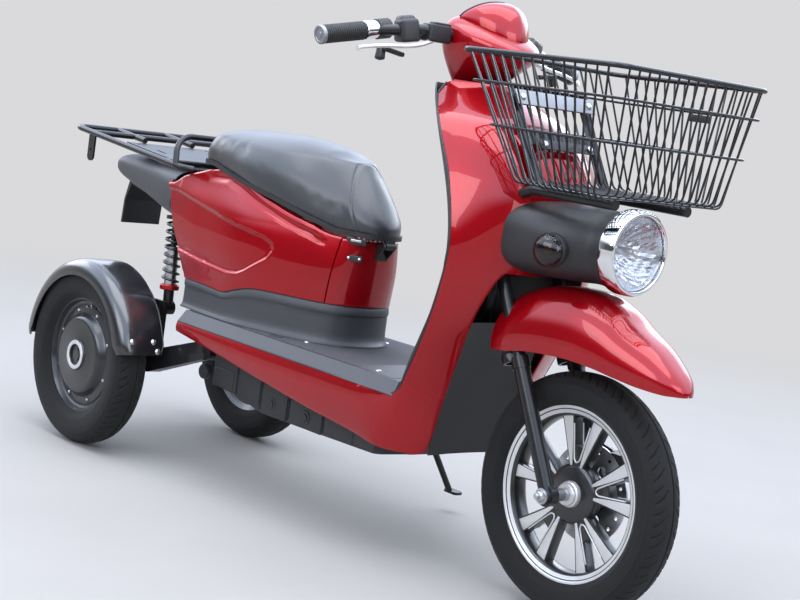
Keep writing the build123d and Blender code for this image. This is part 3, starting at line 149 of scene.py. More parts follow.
# %% Mirrored room
# the wall behind the object is pale, the room behind the camera dark and the sky above both bright
facing = world_tree.nodes.new("ShaderNodeVectorMath")
facing.operation = "DOT_PRODUCT"
facing.inputs[1].default_value = (-0.742, 0.670, 0)
links.new(way_out.outputs["Generated"], facing.inputs[0])
wall = world_mix(world_step(facing.outputs["Value"], -0.1, 0.75), (0.085, 0.09, 0.10, 1), PALE)
room = world_mix(world_step(split.outputs["Z"], 0.16, 0.36), wall, (2.2, 2.55, 3.2, 1))
seen = world_tree.nodes.new("ShaderNodeLightPath")
backdrop = world_tree.nodes.new("ShaderNodeBackground")
backdrop.inputs["Strength"].default_value = 1.0
links.new(world_mix(seen.outputs["Is Camera Ray"], room, PALE), backdrop.inputs["Color"])
through_glass = world_tree.nodes.new("ShaderNodeMath")
through_glass.operation = "ADD"
links.new(seen.outputs["Is Glossy Ray"], through_glass.inputs[0])
links.new(seen.outputs["Is Transmission Ray"], through_glass.inputs[1])
shown = world_tree.nodes.new("ShaderNodeMath")
shown.operation = "ADD"
shown.use_clamp = True
links.new(seen.outputs["Is Camera Ray"], shown.inputs[0])
links.new(through_glass.outputs["Value"], shown.inputs[1])
blend_sky = world_tree.nodes.new("ShaderNodeMixShader")
links.new(shown.outputs["Value"], blend_sky.inputs["Fac"])
links.new(fill_sky.outputs["Background"], blend_sky.inputs[1])
links.new(backdrop.outputs["Background"], blend_sky.inputs[2])
links.new(blend_sky.outputs["Shader"], world_tree.nodes["World Output"].inputs["Surface"])
print("world nodes", len(world_tree.nodes))


# %% Soft lamps
def soft_lamp(name, place, target, width, height, power, colour=(1, 1, 1)):
    """A rectangular soft lamp that looks at a point."""
    bpy.ops.object.light_add(type="AREA", location=place)
    lamp = bpy.context.object
    lamp.name = name
    lamp.data.shape = "RECTANGLE"
    lamp.data.size = width
    lamp.data.size_y = height
    lamp.data.energy = power
    lamp.data.color = colour
    aim = Vector(target) - Vector(place)
    lamp.rotation_euler = aim.to_track_quat("-Z", "Y").to_euler()
    return lamp


middle = (0, 0, 0.5)
soft_lamp("top_box", (0.3, -0.4, 3.6), middle, 4.2, 2.6, 120, (0.96, 0.98, 1))
soft_lamp("near_box", (0.6, -4.2, 2.4), middle, 3.4, 1.6, 62, (1, 0.99, 0.97))
soft_lamp("front_box", (4.6, -0.6, 1.9), middle, 2.2, 1.8, 42)
soft_lamp("far_box", (-1.2, 4.0, 2.6), middle, 3.6, 1.6, 55, (0.95, 0.98, 1))
soft_lamp("rear_box", (-4.4, -0.8, 2.2), middle, 2.4, 1.8, 38)

# %% Floor
FLOOR_RADIUS = 40
deselect()
bpy.ops.mesh.primitive_circle_add(vertices=96, radius=FLOOR_RADIUS, fill_type="NGON")
floor = bpy.context.object
floor.name = "studio_floor"
floor_paint = bpy.data.materials.new("pale_floor")
floor_paint.use_nodes = True
floor_tree = floor_paint.node_tree
floor_shader = floor_tree.nodes["Principled BSDF"]
floor_shader.inputs["Roughness"].default_value = 0.75
floor_place = floor_tree.nodes.new("ShaderNodeTexCoord")
floor_cloud = floor_tree.nodes.new("ShaderNodeTexNoise")
floor_cloud.inputs["Scale"].default_value = 2.2
floor_cloud.inputs["Detail"].default_value = 6
floor_ramp = floor_tree.nodes.new("ShaderNodeValToRGB")
floor_ramp.color_ramp.elements[0].color = (0.50, 0.50, 0.515, 1)
floor_ramp.color_ramp.elements[1].color = (0.58, 0.58, 0.59, 1)
distance = floor_tree.nodes.new("ShaderNodeVectorMath")
distance.operation = "LENGTH"
fade = floor_tree.nodes.new("ShaderNodeMapRange")
fade.inputs["From Min"].default_value = 1.5
fade.inputs["From Max"].default_value = 4.6
fade.interpolation_type = "SMOOTHSTEP"
glow = floor_tree.nodes.new("ShaderNodeEmission")
glow.inputs["Color"].default_value = PALE
fade_mix = floor_tree.nodes.new("ShaderNodeMixShader")
floor_tree.links.new(floor_place.outputs["Object"], floor_cloud.inputs["Vector"])
floor_tree.links.new(floor_place.outputs["Object"], distance.inputs[0])
floor_tree.links.new(distance.outputs["Value"], fade.inputs["Value"])
floor_tree.links.new(floor_cloud.outputs["Fac"], floor_ramp.inputs["Fac"])
floor_tree.links.new(floor_ramp.outputs["Color"], floor_shader.inputs["Base Color"])
floor_tree.links.new(fade.outputs["Result"], fade_mix.inputs["Fac"])
floor_tree.links.new(floor_shader.outputs["BSDF"], fade_mix.inputs[1])
floor_tree.links.new(glow.outputs["Emission"], fade_mix.inputs[2])
floor_tree.links.new(fade_mix.outputs["Shader"], floor_tree.nodes["Material Output"].inputs["Surface"])
floor.data.materials.append(floor_paint)
floor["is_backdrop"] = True
print("floor radius", FLOOR_RADIUS, "m")

# %% [markdown]
# ## Finishes
# Nothing real has one flat colour. A finish could be painted as an image, but a node recipe stays
# sharp at every distance and needs no unwrapping. Every finish here starts from one recipe: a cloudy
# change of colour, a slow change of roughness and a bump at the scale of the real grain. Plastic,
# paint, rubber and metal differ in those numbers. The red is a metallic base under a clear coat,
# which gives the deep colour with sharp reflections on top.


# %% The shared recipe for a finish
def finish(name, colour, shade=0.8, mottle=9.0, rough=(0.4, 0.5), grain=700.0, grain_depth=0.05,
           metal=0.0, coat=0.0, coat_rough=0.03, sheen=0.0, detail=3.0):
    """A procedural finish: mottled colour, uneven roughness and a fine bump, depth in millimetres."""
    made = bpy.data.materials.new(name)
    made.use_nodes = True
    tree = made.node_tree
    shader = tree.nodes["Principled BSDF"]
    shader.inputs["Metallic"].default_value = metal
    shader.inputs["Coat Weight"].default_value = coat
    shader.inputs["Coat Roughness"].default_value = coat_rough
    shader.inputs["Sheen Weight"].default_value = sheen
    place = tree.nodes.new("ShaderNodeTexCoord")
    cloud = tree.nodes.new("ShaderNodeTexNoise")
    cloud.inputs["Scale"].default_value = mottle
    cloud.inputs["Detail"].default_value = detail
    ramp = tree.nodes.new("ShaderNodeValToRGB")
    ramp.color_ramp.elements[0].position = 0.32
    ramp.color_ramp.elements[1].position = 0.68
    ramp.color_ramp.elements[0].color = (*[c * shade for c in colour], 1)
    ramp.color_ramp.elements[1].color = (*colour, 1)
    fine = tree.nodes.new("ShaderNodeTexNoise")
    fine.inputs["Scale"].default_value = grain
    fine.inputs["Detail"].default_value = 2
    uneven = tree.nodes.new("ShaderNodeMapRange")
    uneven.inputs["To Min"].default_value = rough[0]
    uneven.inputs["To Max"].default_value = rough[1]
    bump = tree.nodes.new("ShaderNodeBump")
    bump.inputs["Distance"].default_value = grain_depth * MM
    tree.links.new(place.outputs["Object"], cloud.inputs["Vector"])
    tree.links.new(place.outputs["Object"], fine.inputs["Vector"])
    tree.links.new(cloud.outputs["Fac"], ramp.inputs["Fac"])
    tree.links.new(ramp.outputs["Color"], shader.inputs["Base Color"])
    tree.links.new(cloud.outputs["Fac"], uneven.inputs["Value"])
    tree.links.new(uneven.outputs["Result"], shader.inputs["Roughness"])
    tree.links.new(fine.outputs["Fac"], bump.inputs["Height"])
    tree.links.new(bump.outputs["Normal"], shader.inputs["Normal"])
    return made


# %% Finishes of this machine
red_paint = finish("candy_red", (0.38, 0.002, 0.008), shade=0.90, mottle=5, rough=(0.24, 0.30),
                   grain=2600, grain_depth=0.003, metal=0.3, coat=0.8, coat_rough=0.02, detail=1)
red_paint.node_tree.nodes["Principled BSDF"].inputs["Specular IOR Level"].default_value = 0.05
black_plastic = finish("moulded_black", (0.021, 0.021, 0.024), shade=0.75, mottle=14, rough=(0.42, 0.56),
                       grain=1500, grain_depth=0.05)
grey_plastic = finish("moulded_grey", (0.060, 0.063, 0.074), shade=0.82, mottle=11, rough=(0.45, 0.58),
                      grain=1400, grain_depth=0.06)
satin_black = finish("satin_black_metal", (0.016, 0.016, 0.018), shade=0.7, mottle=22, rough=(0.28, 0.42),
                     grain=900, grain_depth=0.02, coat=0.35, coat_rough=0.08)
satin_black.node_tree.nodes["Principled BSDF"].inputs["Specular IOR Level"].default_value = 0.2
tyre_rubber = finish("tyre_rubber", (0.015, 0.015, 0.016), shade=0.7, mottle=26, rough=(0.72, 0.9),
                     grain=1300, grain_depth=0.08, sheen=0.05)
grip_rubber = finish("grip_rubber", (0.018, 0.018, 0.019), shade=0.75, mottle=40, rough=(0.5, 0.7),
                     grain=1800, grain_depth=0.05)
alloy = finish("machined_alloy", (0.78, 0.79, 0.81), shade=0.93, mottle=40, rough=(0.34, 0.46),
               grain=2400, grain_depth=0.012, metal=0.45)
rim_black = finish("rim_black", (0.014, 0.014, 0.016), shade=0.75, mottle=18, rough=(0.3, 0.42),
                   grain=1000, grain_depth=0.015, coat=0.5, coat_rough=0.12)
steel = finish("bright_steel", (0.56, 0.56, 0.58), shade=0.8, mottle=60, rough=(0.24, 0.4),
               grain=1800, grain_depth=0.02, metal=1.0)
chrome = finish("chrome", (0.82, 0.82, 0.84), shade=0.95, mottle=30, rough=(0.03, 0.07),
                grain=600, grain_depth=0.002, metal=1.0)
vinyl = finish("seat_vinyl", (0.034, 0.037, 0.046), shade=0.86, mottle=8, rough=(0.34, 0.44),
               grain=1100, grain_depth=0.08, sheen=0.12, coat=0.35, coat_rough=0.3)
tyre_rubber.node_tree.nodes["Principled BSDF"].inputs["Specular IOR Level"].default_value = 0.28
tail_red = finish("tail_lens", (0.40, 0.006, 0.010), shade=0.8, mottle=40, rough=(0.10, 0.18), grain=240,
                  grain_depth=0.2, coat=0.9, coat_rough=0.03)
print("finishes", len(bpy.data.materials))

# %% A finish for every CAD node
by_slot = {
    "red_paint": red_paint, "black_plastic": black_plastic, "grey_plastic": grey_plastic,
    "black_metal": satin_black, "tyre": tyre_rubber, "alloy": alloy, "rim_black": rim_black,
    "steel": steel, "chrome": chrome, "rubber": grip_rubber, "vinyl": vinyl,
    "clear_lens": chrome, "smoked_lens": black_plastic, "red_lens": tail_red, "battery_case": black_plastic,
}
for row in frame["record"]["subparts"]:
    node = frame["nodes"][row["node"]]
    node.data.materials.clear()
    node.data.materials.append(by_slot[row["material_slot"]])
print("dressed nodes", len(frame["nodes"]))

# %% [markdown]
# ## Tools for the panels
# Moulded panels are thin curved sheets. They could be pushed into shape from a cube, but a panel
# whose outline has been measured is quicker to make from rows of points: a grid primitive gets its
# points set row by row, its thickness from a Solidify modifier and a rolled edge from a Bevel. Round
# parts use the same sheet, closed on itself. Sizes are written in millimetres, as in the part's source.


# %% Helpers for smooth tables
def between(a, b, c, d, t):
    """A value a share t of the way from b to c on a smooth line through all four."""
    return 0.5 * (2 * b + (c - a) * t + (2 * a - 5 * b + 4 * c - d) * t * t
                  + (3 * b - a - 3 * c + d) * t ** 3)


def through(rows, per_step):
    """Rows of numbers with smooth steps added between them."""
    made = []
    for n in range(len(rows) - 1):
        four = rows[max(n - 1, 0)], rows[n], rows[n + 1], rows[min(n + 2, len(rows) - 1)]
        for step in range(per_step):
            made.append(tuple(between(*values, step / per_step) for values in zip(*four)))
    return made + [tuple(rows[-1])]


def at_key(rows, key):
    """The other values of a table's row where its first column equals a key, smoothly in between."""
    rows = sorted(rows)
    key = min(max(key, rows[0][0]), rows[-1][0])
    n = 0
    while n < len(rows) - 2 and key > rows[n + 1][0]:
        n += 1
    t = (key - rows[n][0]) / (rows[n + 1][0] - rows[n][0])
    four = rows[max(n - 1, 0)], rows[n], rows[n + 1], rows[min(n + 2, len(rows) - 1)]
    return [between(*values, t) for values in list(zip(*four))[1:]]


def ease(low, high, value):
    """0 below low, 1 above high and a smooth step between."""
    t = min(max((value - low) / (high - low), 0), 1)
    return t * t * (3 - 2 * t)


# %% Helpers for sheets and modifiers
def active(piece):
    """Select one piece alone and make it the active one."""
    deselect()
    piece.select_set(True)
    bpy.context.view_layer.objects.active = piece


def sheet_of(name, rows, closed=False):
    """A grid primitive whose points are set row by row; closed joins each row's ends."""
    deselect()
    bpy.ops.mesh.primitive_grid_add(x_subdivisions=len(rows[0]) - 1, y_subdivisions=len(rows) - 1)
    piece = bpy.context.object
    piece.name = name
    points = [Vector(p) * MM for row in rows for p in row]
    for vertex, point in zip(piece.data.vertices, points):
        vertex.co = point
    bpy.ops.object.mode_set(mode="EDIT")
    bpy.ops.mesh.select_all(action="SELECT")
    if closed:
        bpy.ops.mesh.remove_doubles(threshold=0.02 * MM)
    bpy.ops.mesh.normals_make_consistent(inside=False)
    bpy.ops.object.mode_set(mode="OBJECT")
    return piece


def face_away(piece, centre):
    """Turn an open sheet's faces away from a point in millimetres."""
    middle_point = Vector(centre) * MM
    lean = sum((f.normal.dot(f.center - middle_point) * f.area for f in piece.data.polygons), 0.0)
    if lean < 0:
        active(piece)
        bpy.ops.object.mode_set(mode="EDIT")
        bpy.ops.mesh.select_all(action="SELECT")
        bpy.ops.mesh.flip_normals()
        bpy.ops.object.mode_set(mode="OBJECT")


def apply_modifier(piece, kind, **settings):
    """Add a modifier with these settings and apply it."""
    active(piece)
    modifier = piece.modifiers.new(kind.title(), kind)
    for key, value in settings.items():
        setattr(modifier, key, value)
    bpy.ops.object.modifier_apply(modifier=modifier.name)


def thicken(piece, wall=3.0, edge=0.9):
    """Give a sheet its wall inwards, with rounded edges."""
    apply_modifier(piece, "SOLIDIFY", thickness=wall * MM, offset=-1.0, use_even_offset=True)
    if edge:
        apply_modifier(piece, "BEVEL", width=edge * MM, segments=2, limit_method="ANGLE",
                       angle_limit=math.radians(50))


def smooth(piece, angle=40):
    """Smooth shading with sharp edges where faces meet at more than an angle."""
    active(piece)
    bpy.ops.object.shade_smooth_by_angle(angle=math.radians(angle))


# %% Helpers that finish a piece
def dress(piece, body, material, slot, stands_for=()):
    """A material, the body that the piece rides on and the CAD nodes that it stands for; slot is not used.
    """
    piece.data.name = piece.name
    piece.data.materials.clear()
    piece.data.materials.append(material)
    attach(piece, body)
    if stands_for:
        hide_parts(*stands_for)
    print(piece.name, len(piece.data.polygons), "faces")
    return piece


def mirrored(piece):
    """Add the piece's mirror image on the vehicle's other side."""
    apply_modifier(piece, "MIRROR", use_axis=(False, True, False), use_mirror_merge=True,
                   merge_threshold=0.05 * MM)


def joined(name, pieces):
    """Several pieces made one object."""
    active(pieces[0])
    for piece in pieces[1:]:
        piece.select_set(True)
    if len(pieces) > 1:
        bpy.ops.object.join()
    pieces[0].name = name
    return pieces[0]


# %% Helpers for bars
def rounded_path(points, corner, steps=6):
    """A path in millimetres with its corners turned into arcs of quadratic shape."""
    made = [Vector(points[0])]
    for before, here, after in zip(points, points[1:], points[2:]):
        before, here, after = Vector(before), Vector(here), Vector(after)
        reach = min(corner, (here - before).length * 0.49, (after - here).length * 0.49)
        start = here + (before - here).normalized() * reach
        end = here + (after - here).normalized() * reach
        for step in range(steps + 1):
            t = step / steps
            made.append(start.lerp(here, t).lerp(here.lerp(end, t), t))
    return made + [Vector(points[-1])]


def pipes(name, paths, radius, sides=2, closed=False):
    """Round bars along paths in millimetres, as one mesh with closed ends."""
    deselect()
    bpy.ops.curve.primitive_nurbs_path_add()
    curve = bpy.context.object
    curve.name = name
    curve.data.splines.clear()
    for path in paths:
        spline = curve.data.splines.new("POLY")
        spline.points.add(len(path) - 1)
        for point, place in zip(spline.points, path):
            point.co = (*(Vector(place) * MM), 1)
        spline.use_cyclic_u = closed
    curve.data.bevel_depth = radius * MM
    curve.data.bevel_resolution = sides
    curve.data.use_fill_caps = True
    curve.data.dimensions = "3D"
    bpy.ops.object.convert(target="MESH")
    piece = bpy.context.object
    bpy.ops.object.mode_set(mode="EDIT")
    bpy.ops.mesh.select_all(action="SELECT")
    bpy.ops.mesh.remove_doubles(threshold=0.005 * MM)
    bpy.ops.mesh.normals_make_consistent(inside=False)
    bpy.ops.object.mode_set(mode="OBJECT")
    piece.name = name
    smooth(piece, 50)
    return piece


# %% Helpers for turned parts
def turned(name, profile, centre, axis=(0, 1, 0), steps=64):
    """A solid of revolution from (radius, offset along the axis) points, in millimetres."""
    way = Vector(axis).normalized()
    side = way.orthogonal().normalized()
    other = way.cross(side)
    rows = []
    for n in range(steps + 1):
        turn_by = 2 * math.pi * (n % steps) / steps
        out = side * math.cos(turn_by) + other * math.sin(turn_by)
        rows.append([Vector(centre) + out * r + way * offset for r, offset in profile])
    return sheet_of(name, rows, closed=True)


def oval_shell(name, sections, around, inside):
    """A shell round its length, from (x, half width, half height, middle height, squareness) sections."""
    rows = []
    for x, half, high, mid_z, square in sections:
        row = []
        for k in range(around + 1):
            angle = 2 * math.pi * (k % around) / around
            cos, sin = math.cos(angle), math.sin(angle)
            y = half * math.copysign(abs(cos) ** (2 / square), cos)
            z = high * math.copysign(abs(sin) ** (2 / square), sin)
            row.append((x, y, mid_z + z))
        rows.append(row)
    piece = sheet_of(name, rows, closed=True)
    face_away(piece, inside)
    thicken(piece, 3.0, 0.5)
    smooth(piece, 40)
    return piece


def turned_piece(name, profile, centre, axis, steps, sharp, *dressing):
    """A turned solid with smooth shading below an angle, dressed at once."""
    piece = turned(name, profile, centre, axis, steps)
    smooth(piece, sharp)
    return dress(piece, *dressing)


def bolt(name, place, axis, radius=5, height=4):
    """A hexagon head with a rounded top, seated on a face."""
    profile = ((0, height), (radius * 0.55, height), (radius * 0.86, height * 0.8), (radius, height * 0.55),
               (radius, 0), (0, 0))
    return turned(name, profile, place, axis, steps=6)

# %% [markdown]
# ## The red shell
# On the real machine the paint runs from the floor's edge into the leg shield with no joint to be
# seen. Two sheets would show a seam at the corner, so it is one sheet here: a ribbon of stations from
# the skirt's rear end round the corner and up the shield. A station is a curve from the rider's edge
# through a middle point to the outer edge. Above the wheel's opening the two ribbons meet in a
# middle panel that stands a few millimetres proud.

# %% Measured sizes of the leg shield and skirts
# columns: height, edge x, half width, front x, as in the part's source
SHIELD = ((228, 322, 172, 417), (375, 385, 193, 431), (530, 444, 200, 516), (660, 464, 201, 558),
          (780, 424, 190, 560), (880, 350, 167, 490), (950, 262, 105, 365))
OPENING_HALF = 106
OPENING_TOP_Z = 612
SWEEP_HALF = 127
# columns: rider's edge, middle and outer edge of the skirt and the corner, each x, half width, height
SKIRT_STATIONS = (
    (-384, 196, 341, -384, 198, 331, -384, 196, 320),
    (-175, 196, 341, -180, 200, 318, -186, 196, 296),
    (77, 196, 341, 77, 200, 302, 84, 193, 262),
    (241, 195, 341, 240, 198, 294, 240, 183, 243),
    (306, 194, 340, 305, 193, 287, 304, 174, 230),
    (342, 193, 340, 336, 182, 281, 345, 150, 226),
    (366, 193, 350, 362, 168, 287, 378, 112, 228),
    (380, 193, 370, 380, 156, 314, 393, 106, 262),
    (394, 195, 400, 402, 152, 366, 410, 106, 335),
)
print("skirt stations", len(SKIRT_STATIONS))


# %% Points of the shield
def shield_x(height, across):
    """Where the shield's face lies at a height and a distance from the middle."""
    edge_x, half, front_x = at_key(SHIELD, height)
    rise = front_x - edge_x
    radius = (half * half + rise * rise) / (2 * rise)
    across = min(abs(across), half)
    return front_x - radius + math.sqrt(max(radius * radius - across * across, 0))


# %% Stations up to the top of the wheel's opening
shield_stations = list(SKIRT_STATIONS)
for height in (455, 500, 545, 590, OPENING_TOP_Z):
    edge_x, half, front_x = at_key(SHIELD, height)
    inner = (OPENING_HALF + (SWEEP_HALF - OPENING_HALF) * ease(430, 475, height)
             * (1 - ease(578, 606, height)))
    mid = (half + inner) / 2
    shield_stations.append((edge_x, half, height, shield_x(height, mid), mid, height,
                            shield_x(height, inner), inner, height))
LEG_STEPS = 8
leg_rows = through(shield_stations, LEG_STEPS)
ACROSS = 12
FOLD = 7


def shield_row(edge, middle_point, outer):
    """A station's points from the folded rider's edge to the outer edge, on the right side."""
    points = []
    for n in range(ACROSS + 1):
        t = n / ACROSS
        weights = ((1 - t) * (1 - 2 * t), 4 * t * (1 - t), t * (2 * t - 1))
        points.append(tuple(sum(w * v for w, v in zip(weights, trio))
                            for trio in zip(edge, middle_point, outer)))
    return points


leg_grid = []
for row in leg_rows:
    edge, middle_point, outer = row[:3], row[3:6], row[6:]
    points = shield_row(edge, middle_point, outer)
    start, nxt = Vector(points[0]), Vector(points[2])
    along = (start - nxt).normalized()
    back = Vector((-0.55, -0.85, 0)) if start.z > 345 else Vector((0, -1, 0.0))
    fold = start + along * 1.5 + back.normalized() * FOLD
    rolled_edge = [tuple(fold), tuple(start + along * 1.2 + back * 2)]
    leg_grid.append([(x, -y, z) for x, y, z in rolled_edge + points])
print("rows up to the opening", len(leg_grid))

# %% Rows above the opening
TOP_STEPS = 44
TOP_Z = 957
CORNER_R = 11
MIDDLE_COLUMNS = 26
FACE_TOP_Z, CORNER_FROM_Z, ROLL_FROM_Z = 950, 918, 930
PANEL_PROUD, ROLL_BACK = 4.5, 9
top_grid = []
for n in range(TOP_STEPS + 1):
    height = OPENING_TOP_Z + (TOP_Z - OPENING_TOP_Z) * n / TOP_STEPS
    edge_x, half, front_x = at_key(SHIELD, min(height, FACE_TOP_Z))
    roll = ease(ROLL_FROM_Z, TOP_Z, height)
    past = min(max((height - CORNER_FROM_Z) / (TOP_Z - CORNER_FROM_Z), 0), 1)
    half -= CORNER_R * (1 - math.sqrt(1 - past * past))
    columns = [half + (OPENING_HALF * min(1, half / 125) - half) * k / ACROSS for k in range(ACROSS + 1)]
    columns += [columns[-1] * (1 - (k + 1) / MIDDLE_COLUMNS) for k in range(MIDDLE_COLUMNS)]
    row = []
    for k, across in enumerate(columns):
        swell = (PANEL_PROUD * (1 - ease(55, 61, across)) * ease(640, 665, height)
                 * (1 - ease(912, 925, height)))
        row.append((shield_x(min(height, FACE_TOP_Z), across) + swell - ROLL_BACK * roll,
                    -across * (1 - 0.03 * roll), height))
    start = Vector(row[0])
    row = [(start.x - FOLD * 0.6, start.y + FOLD * 0.75, height),
           (start.x - 1.6, start.y - 0.6, height)] + row
    top_grid.append(row)
print("rows above the opening", len(top_grid))

# %% The red shell
shield_rows = [row + [row[-1]] * MIDDLE_COLUMNS for row in leg_grid[:-1]] + top_grid
red_shell = sheet_of("red_shell", shield_rows)
active(red_shell)
bpy.ops.object.mode_set(mode="EDIT")
bpy.ops.mesh.select_all(action="SELECT")
bpy.ops.mesh.remove_doubles(threshold=0.01 * MM)
bpy.ops.mesh.dissolve_degenerate(threshold=0.01 * MM)
bpy.ops.object.mode_set(mode="OBJECT")
face_away(red_shell, (200, 0, 500))
# the row between the legs and the middle panel opens below the middle panel
doomed = [f.index for f in red_shell.data.polygons
          if abs(f.center.y) < (OPENING_HALF - 1) * MM and f.center.z < OPENING_TOP_Z * MM]
bpy.ops.object.mode_set(mode="EDIT")
bpy.ops.mesh.select_all(action="DESELECT")
bpy.ops.object.mode_set(mode="OBJECT")
for index in doomed:
    red_shell.data.polygons[index].select = True
bpy.ops.object.mode_set(mode="EDIT")
bpy.ops.mesh.select_mode(type="FACE")
bpy.ops.mesh.delete(type="FACE")
bpy.ops.object.mode_set(mode="OBJECT")
mirrored(red_shell)
thicken(red_shell, 3.0, 0.7)
smooth(red_shell, 42)
dress(red_shell, "frame", red_paint, "red_paint", ("leg_shield", "side_skirts"))

# %% [markdown]
# ## Body round the battery
# The seat stands on a painted body with a pressed arrow in each side. A boolean could cut the arrow,
# but its edges would be sharp and its corners hard to shade. The body's plan changes with height, so
# a point on it is found from its height and its place along the side, and the pressed arrow and the
# groove below the seat are small, soft moves of those points. The front panel ends at a narrow seam.

# %% Measured sizes of the painted body
# columns: height, rear x, rear half, middle x, middle half, corner x, corner half, front x
BODY = ((420, -432, 157, -215, 163, -10, 95, 37), (452, -446, 158, -220, 163, -8, 92, 41),
        (530, -492, 167, -240, 172, -1, 90, 49), (600, -530, 162, -240, 164, 5, 77.5, 50.5),
        (690, -575, 142, -260, 141, 8, 60, 43))
# x and height of the panels' upper edge, of their lower edge and of the pressed arrow's outline
SEAT_LINE = ((-600, 636), (-528, 640), (-497, 659), (-440, 676), (-390, 688), (-340, 692), (-313, 688),
             (-168, 642), (-66, 613), (-21, 600), (60, 597), (120, 597))
PANEL_FOOT = ((-520, 434), (-360, 434), (-272, 431), (-232, 443), (-188, 454), (-134, 457), (0, 457),
              (120, 457))
ARROW = ((-560, 628), (-503, 629), (-331, 600), (-172, 574), (-145, 562), (-139, 545), (-152, 524),
         (-209, 486), (-232, 476), (-268, 473), (-363, 480), (-455, 490), (-560, 500))
ARROW_DEPTH = 6.5
ARROW_WALL = 7.0
print("arrow depth", ARROW_DEPTH, "mm")


# %% Points of the painted body
def outline_at(height):
    """The body's plan at a height, from its rear right corner forward to its nose."""
    rear_x, rear_half, mid_x, mid_half, corner_x, corner_half, front_x = at_key(BODY, height)
    near_front_x, near_front_half = front_x * 0.72 + corner_x * 0.28, corner_half * 0.60
    plan = [(rear_x, rear_half), (rear_x * 0.6 + mid_x * 0.4, mid_half * 0.62 + rear_half * 0.38 + 3),
            (mid_x, mid_half), (mid_x * 0.45 + corner_x * 0.55, mid_half * 0.42 + corner_half * 0.58 + 9),
            (corner_x, corner_half), (near_front_x, near_front_half), (front_x, 0),
            (near_front_x, -near_front_half)]
    return through(plan, 10)[:61]


def plan_point(height, share):
    """The point a share of the way along the body's plan at a height."""
    plan = outline_at(height)
    place = share * (len(plan) - 1)
    n = min(int(place), len(plan) - 2)
    t = place - n
    return tuple(a + (b - a) * t for a, b in zip(plan[n], plan[n + 1]))


def depth_in(outline, x, z):
    """How far inside a closed outline a point lies; below zero outside."""
    inside, nearest = False, 1e9
    for (ax, az), (bx, bz) in zip(outline, outline[1:] + outline[:1]):
        if (az > z) != (bz > z) and x < (bx - ax) * (z - az) / (bz - az) + ax:
            inside = not inside
        length = (bx - ax) ** 2 + (bz - az) ** 2
        t = min(max(((x - ax) * (bx - ax) + (z - az) * (bz - az)) / length, 0), 1)
        nearest = min(nearest, math.hypot(x - ax - t * (bx - ax), z - az - t * (bz - az)))
    return nearest if inside else -nearest


def body_point(share, level):
    """A point of the painted body: share along its plan, level from its foot to the seat."""
    height = 452 + level * 150
    for _ in range(4):
        x, y = plan_point(height, share)
        low_z, high_z = at_key(PANEL_FOOT, x)[0], at_key(SEAT_LINE, x)[0]
        height = low_z + (high_z - low_z) * level
    press = ARROW_DEPTH * ease(0, ARROW_WALL, depth_in(list(ARROW), x, height)) if x < -100 else 0.0
    below_seat = high_z - height
    groove = 3.4 * (1 - ease(4, 9, abs(below_seat - 17))) * ease(-400, -340, x) * (1 - ease(-60, -20, x))
    return x, -(y - (press + groove) * min(1, y / 60)), height


# %% Painted sides
SIDE_SHARE = 0.666
SIDE_COLUMNS = 128
LEVELS = 64
side_grid = []
for n in range(LEVELS + 1):
    level = n / LEVELS
    side_grid.append([body_point(SIDE_SHARE * k / SIDE_COLUMNS, level) for k in range(SIDE_COLUMNS + 1)])
# a returned flange along every edge
side_grid = ([[(x, y + 8, z) for x, y, z in side_grid[0]]] + side_grid
             + [[(x, y + inwards, z + 2) for x, y, z in side_grid[-1]] for inwards in (3, 14)])
side_grid = [[(row[0][0] + 1, row[0][1] + 9, row[0][2])] + row
             + [(row[-1][0] + 1, row[-1][1] + 5, row[-1][2])] for row in side_grid]
side_panels = sheet_of("painted_sides", side_grid)
face_away(side_panels, (-200, 0, 520))
thicken(side_panels, 3.0, 0.6)
mirrored(side_panels)
smooth(side_panels, 50)
dress(side_panels, "frame", red_paint, "red_paint", ("side_panels",))

# %% Painted front
FRONT_COLUMNS = 34
SEAM = 0.008
front_grid = []
for n in range(LEVELS // 2 + 1):
    level = n / (LEVELS // 2)
    half_row = [body_point(SIDE_SHARE + SEAM + (1 - SIDE_SHARE - SEAM) * k / FRONT_COLUMNS, level)
                for k in range(FRONT_COLUMNS + 1)]
    half_row = [(x, y if k < FRONT_COLUMNS else 0.0, z) for k, (x, y, z) in enumerate(half_row)]
    edge = half_row[0]
    front_grid.append([(edge[0] - 1, edge[1] + 5, edge[2])] + half_row)
front_grid = [[(x - 7 * max(x, 0) / 60, y * 0.94, z) for x, y, z in front_grid[0]]] + front_grid
front_grid.append([(x - 9 * max(x, 0) / 60, y * 0.9, z + 1) for x, y, z in front_grid[-1]])
front_panel = sheet_of("painted_front", front_grid)
face_away(front_panel, (-60, 0, 520))
mirrored(front_panel)
face_away(front_panel, (-60, 0, 520))
thicken(front_panel, 3.0, 0.6)
smooth(front_panel, 50)
dress(front_panel, "frame", red_paint, "red_paint", ("seat_front_panel",))

# %% [markdown]
# ## Collar
# A grey moulding carries the painted body. It has a lip below the paint, a plain wall, and a foot
# that flares into the floor. A turned profile won't do, because its plan is the body's own, so the
# profile is a table of how far each height stands out from that plan.

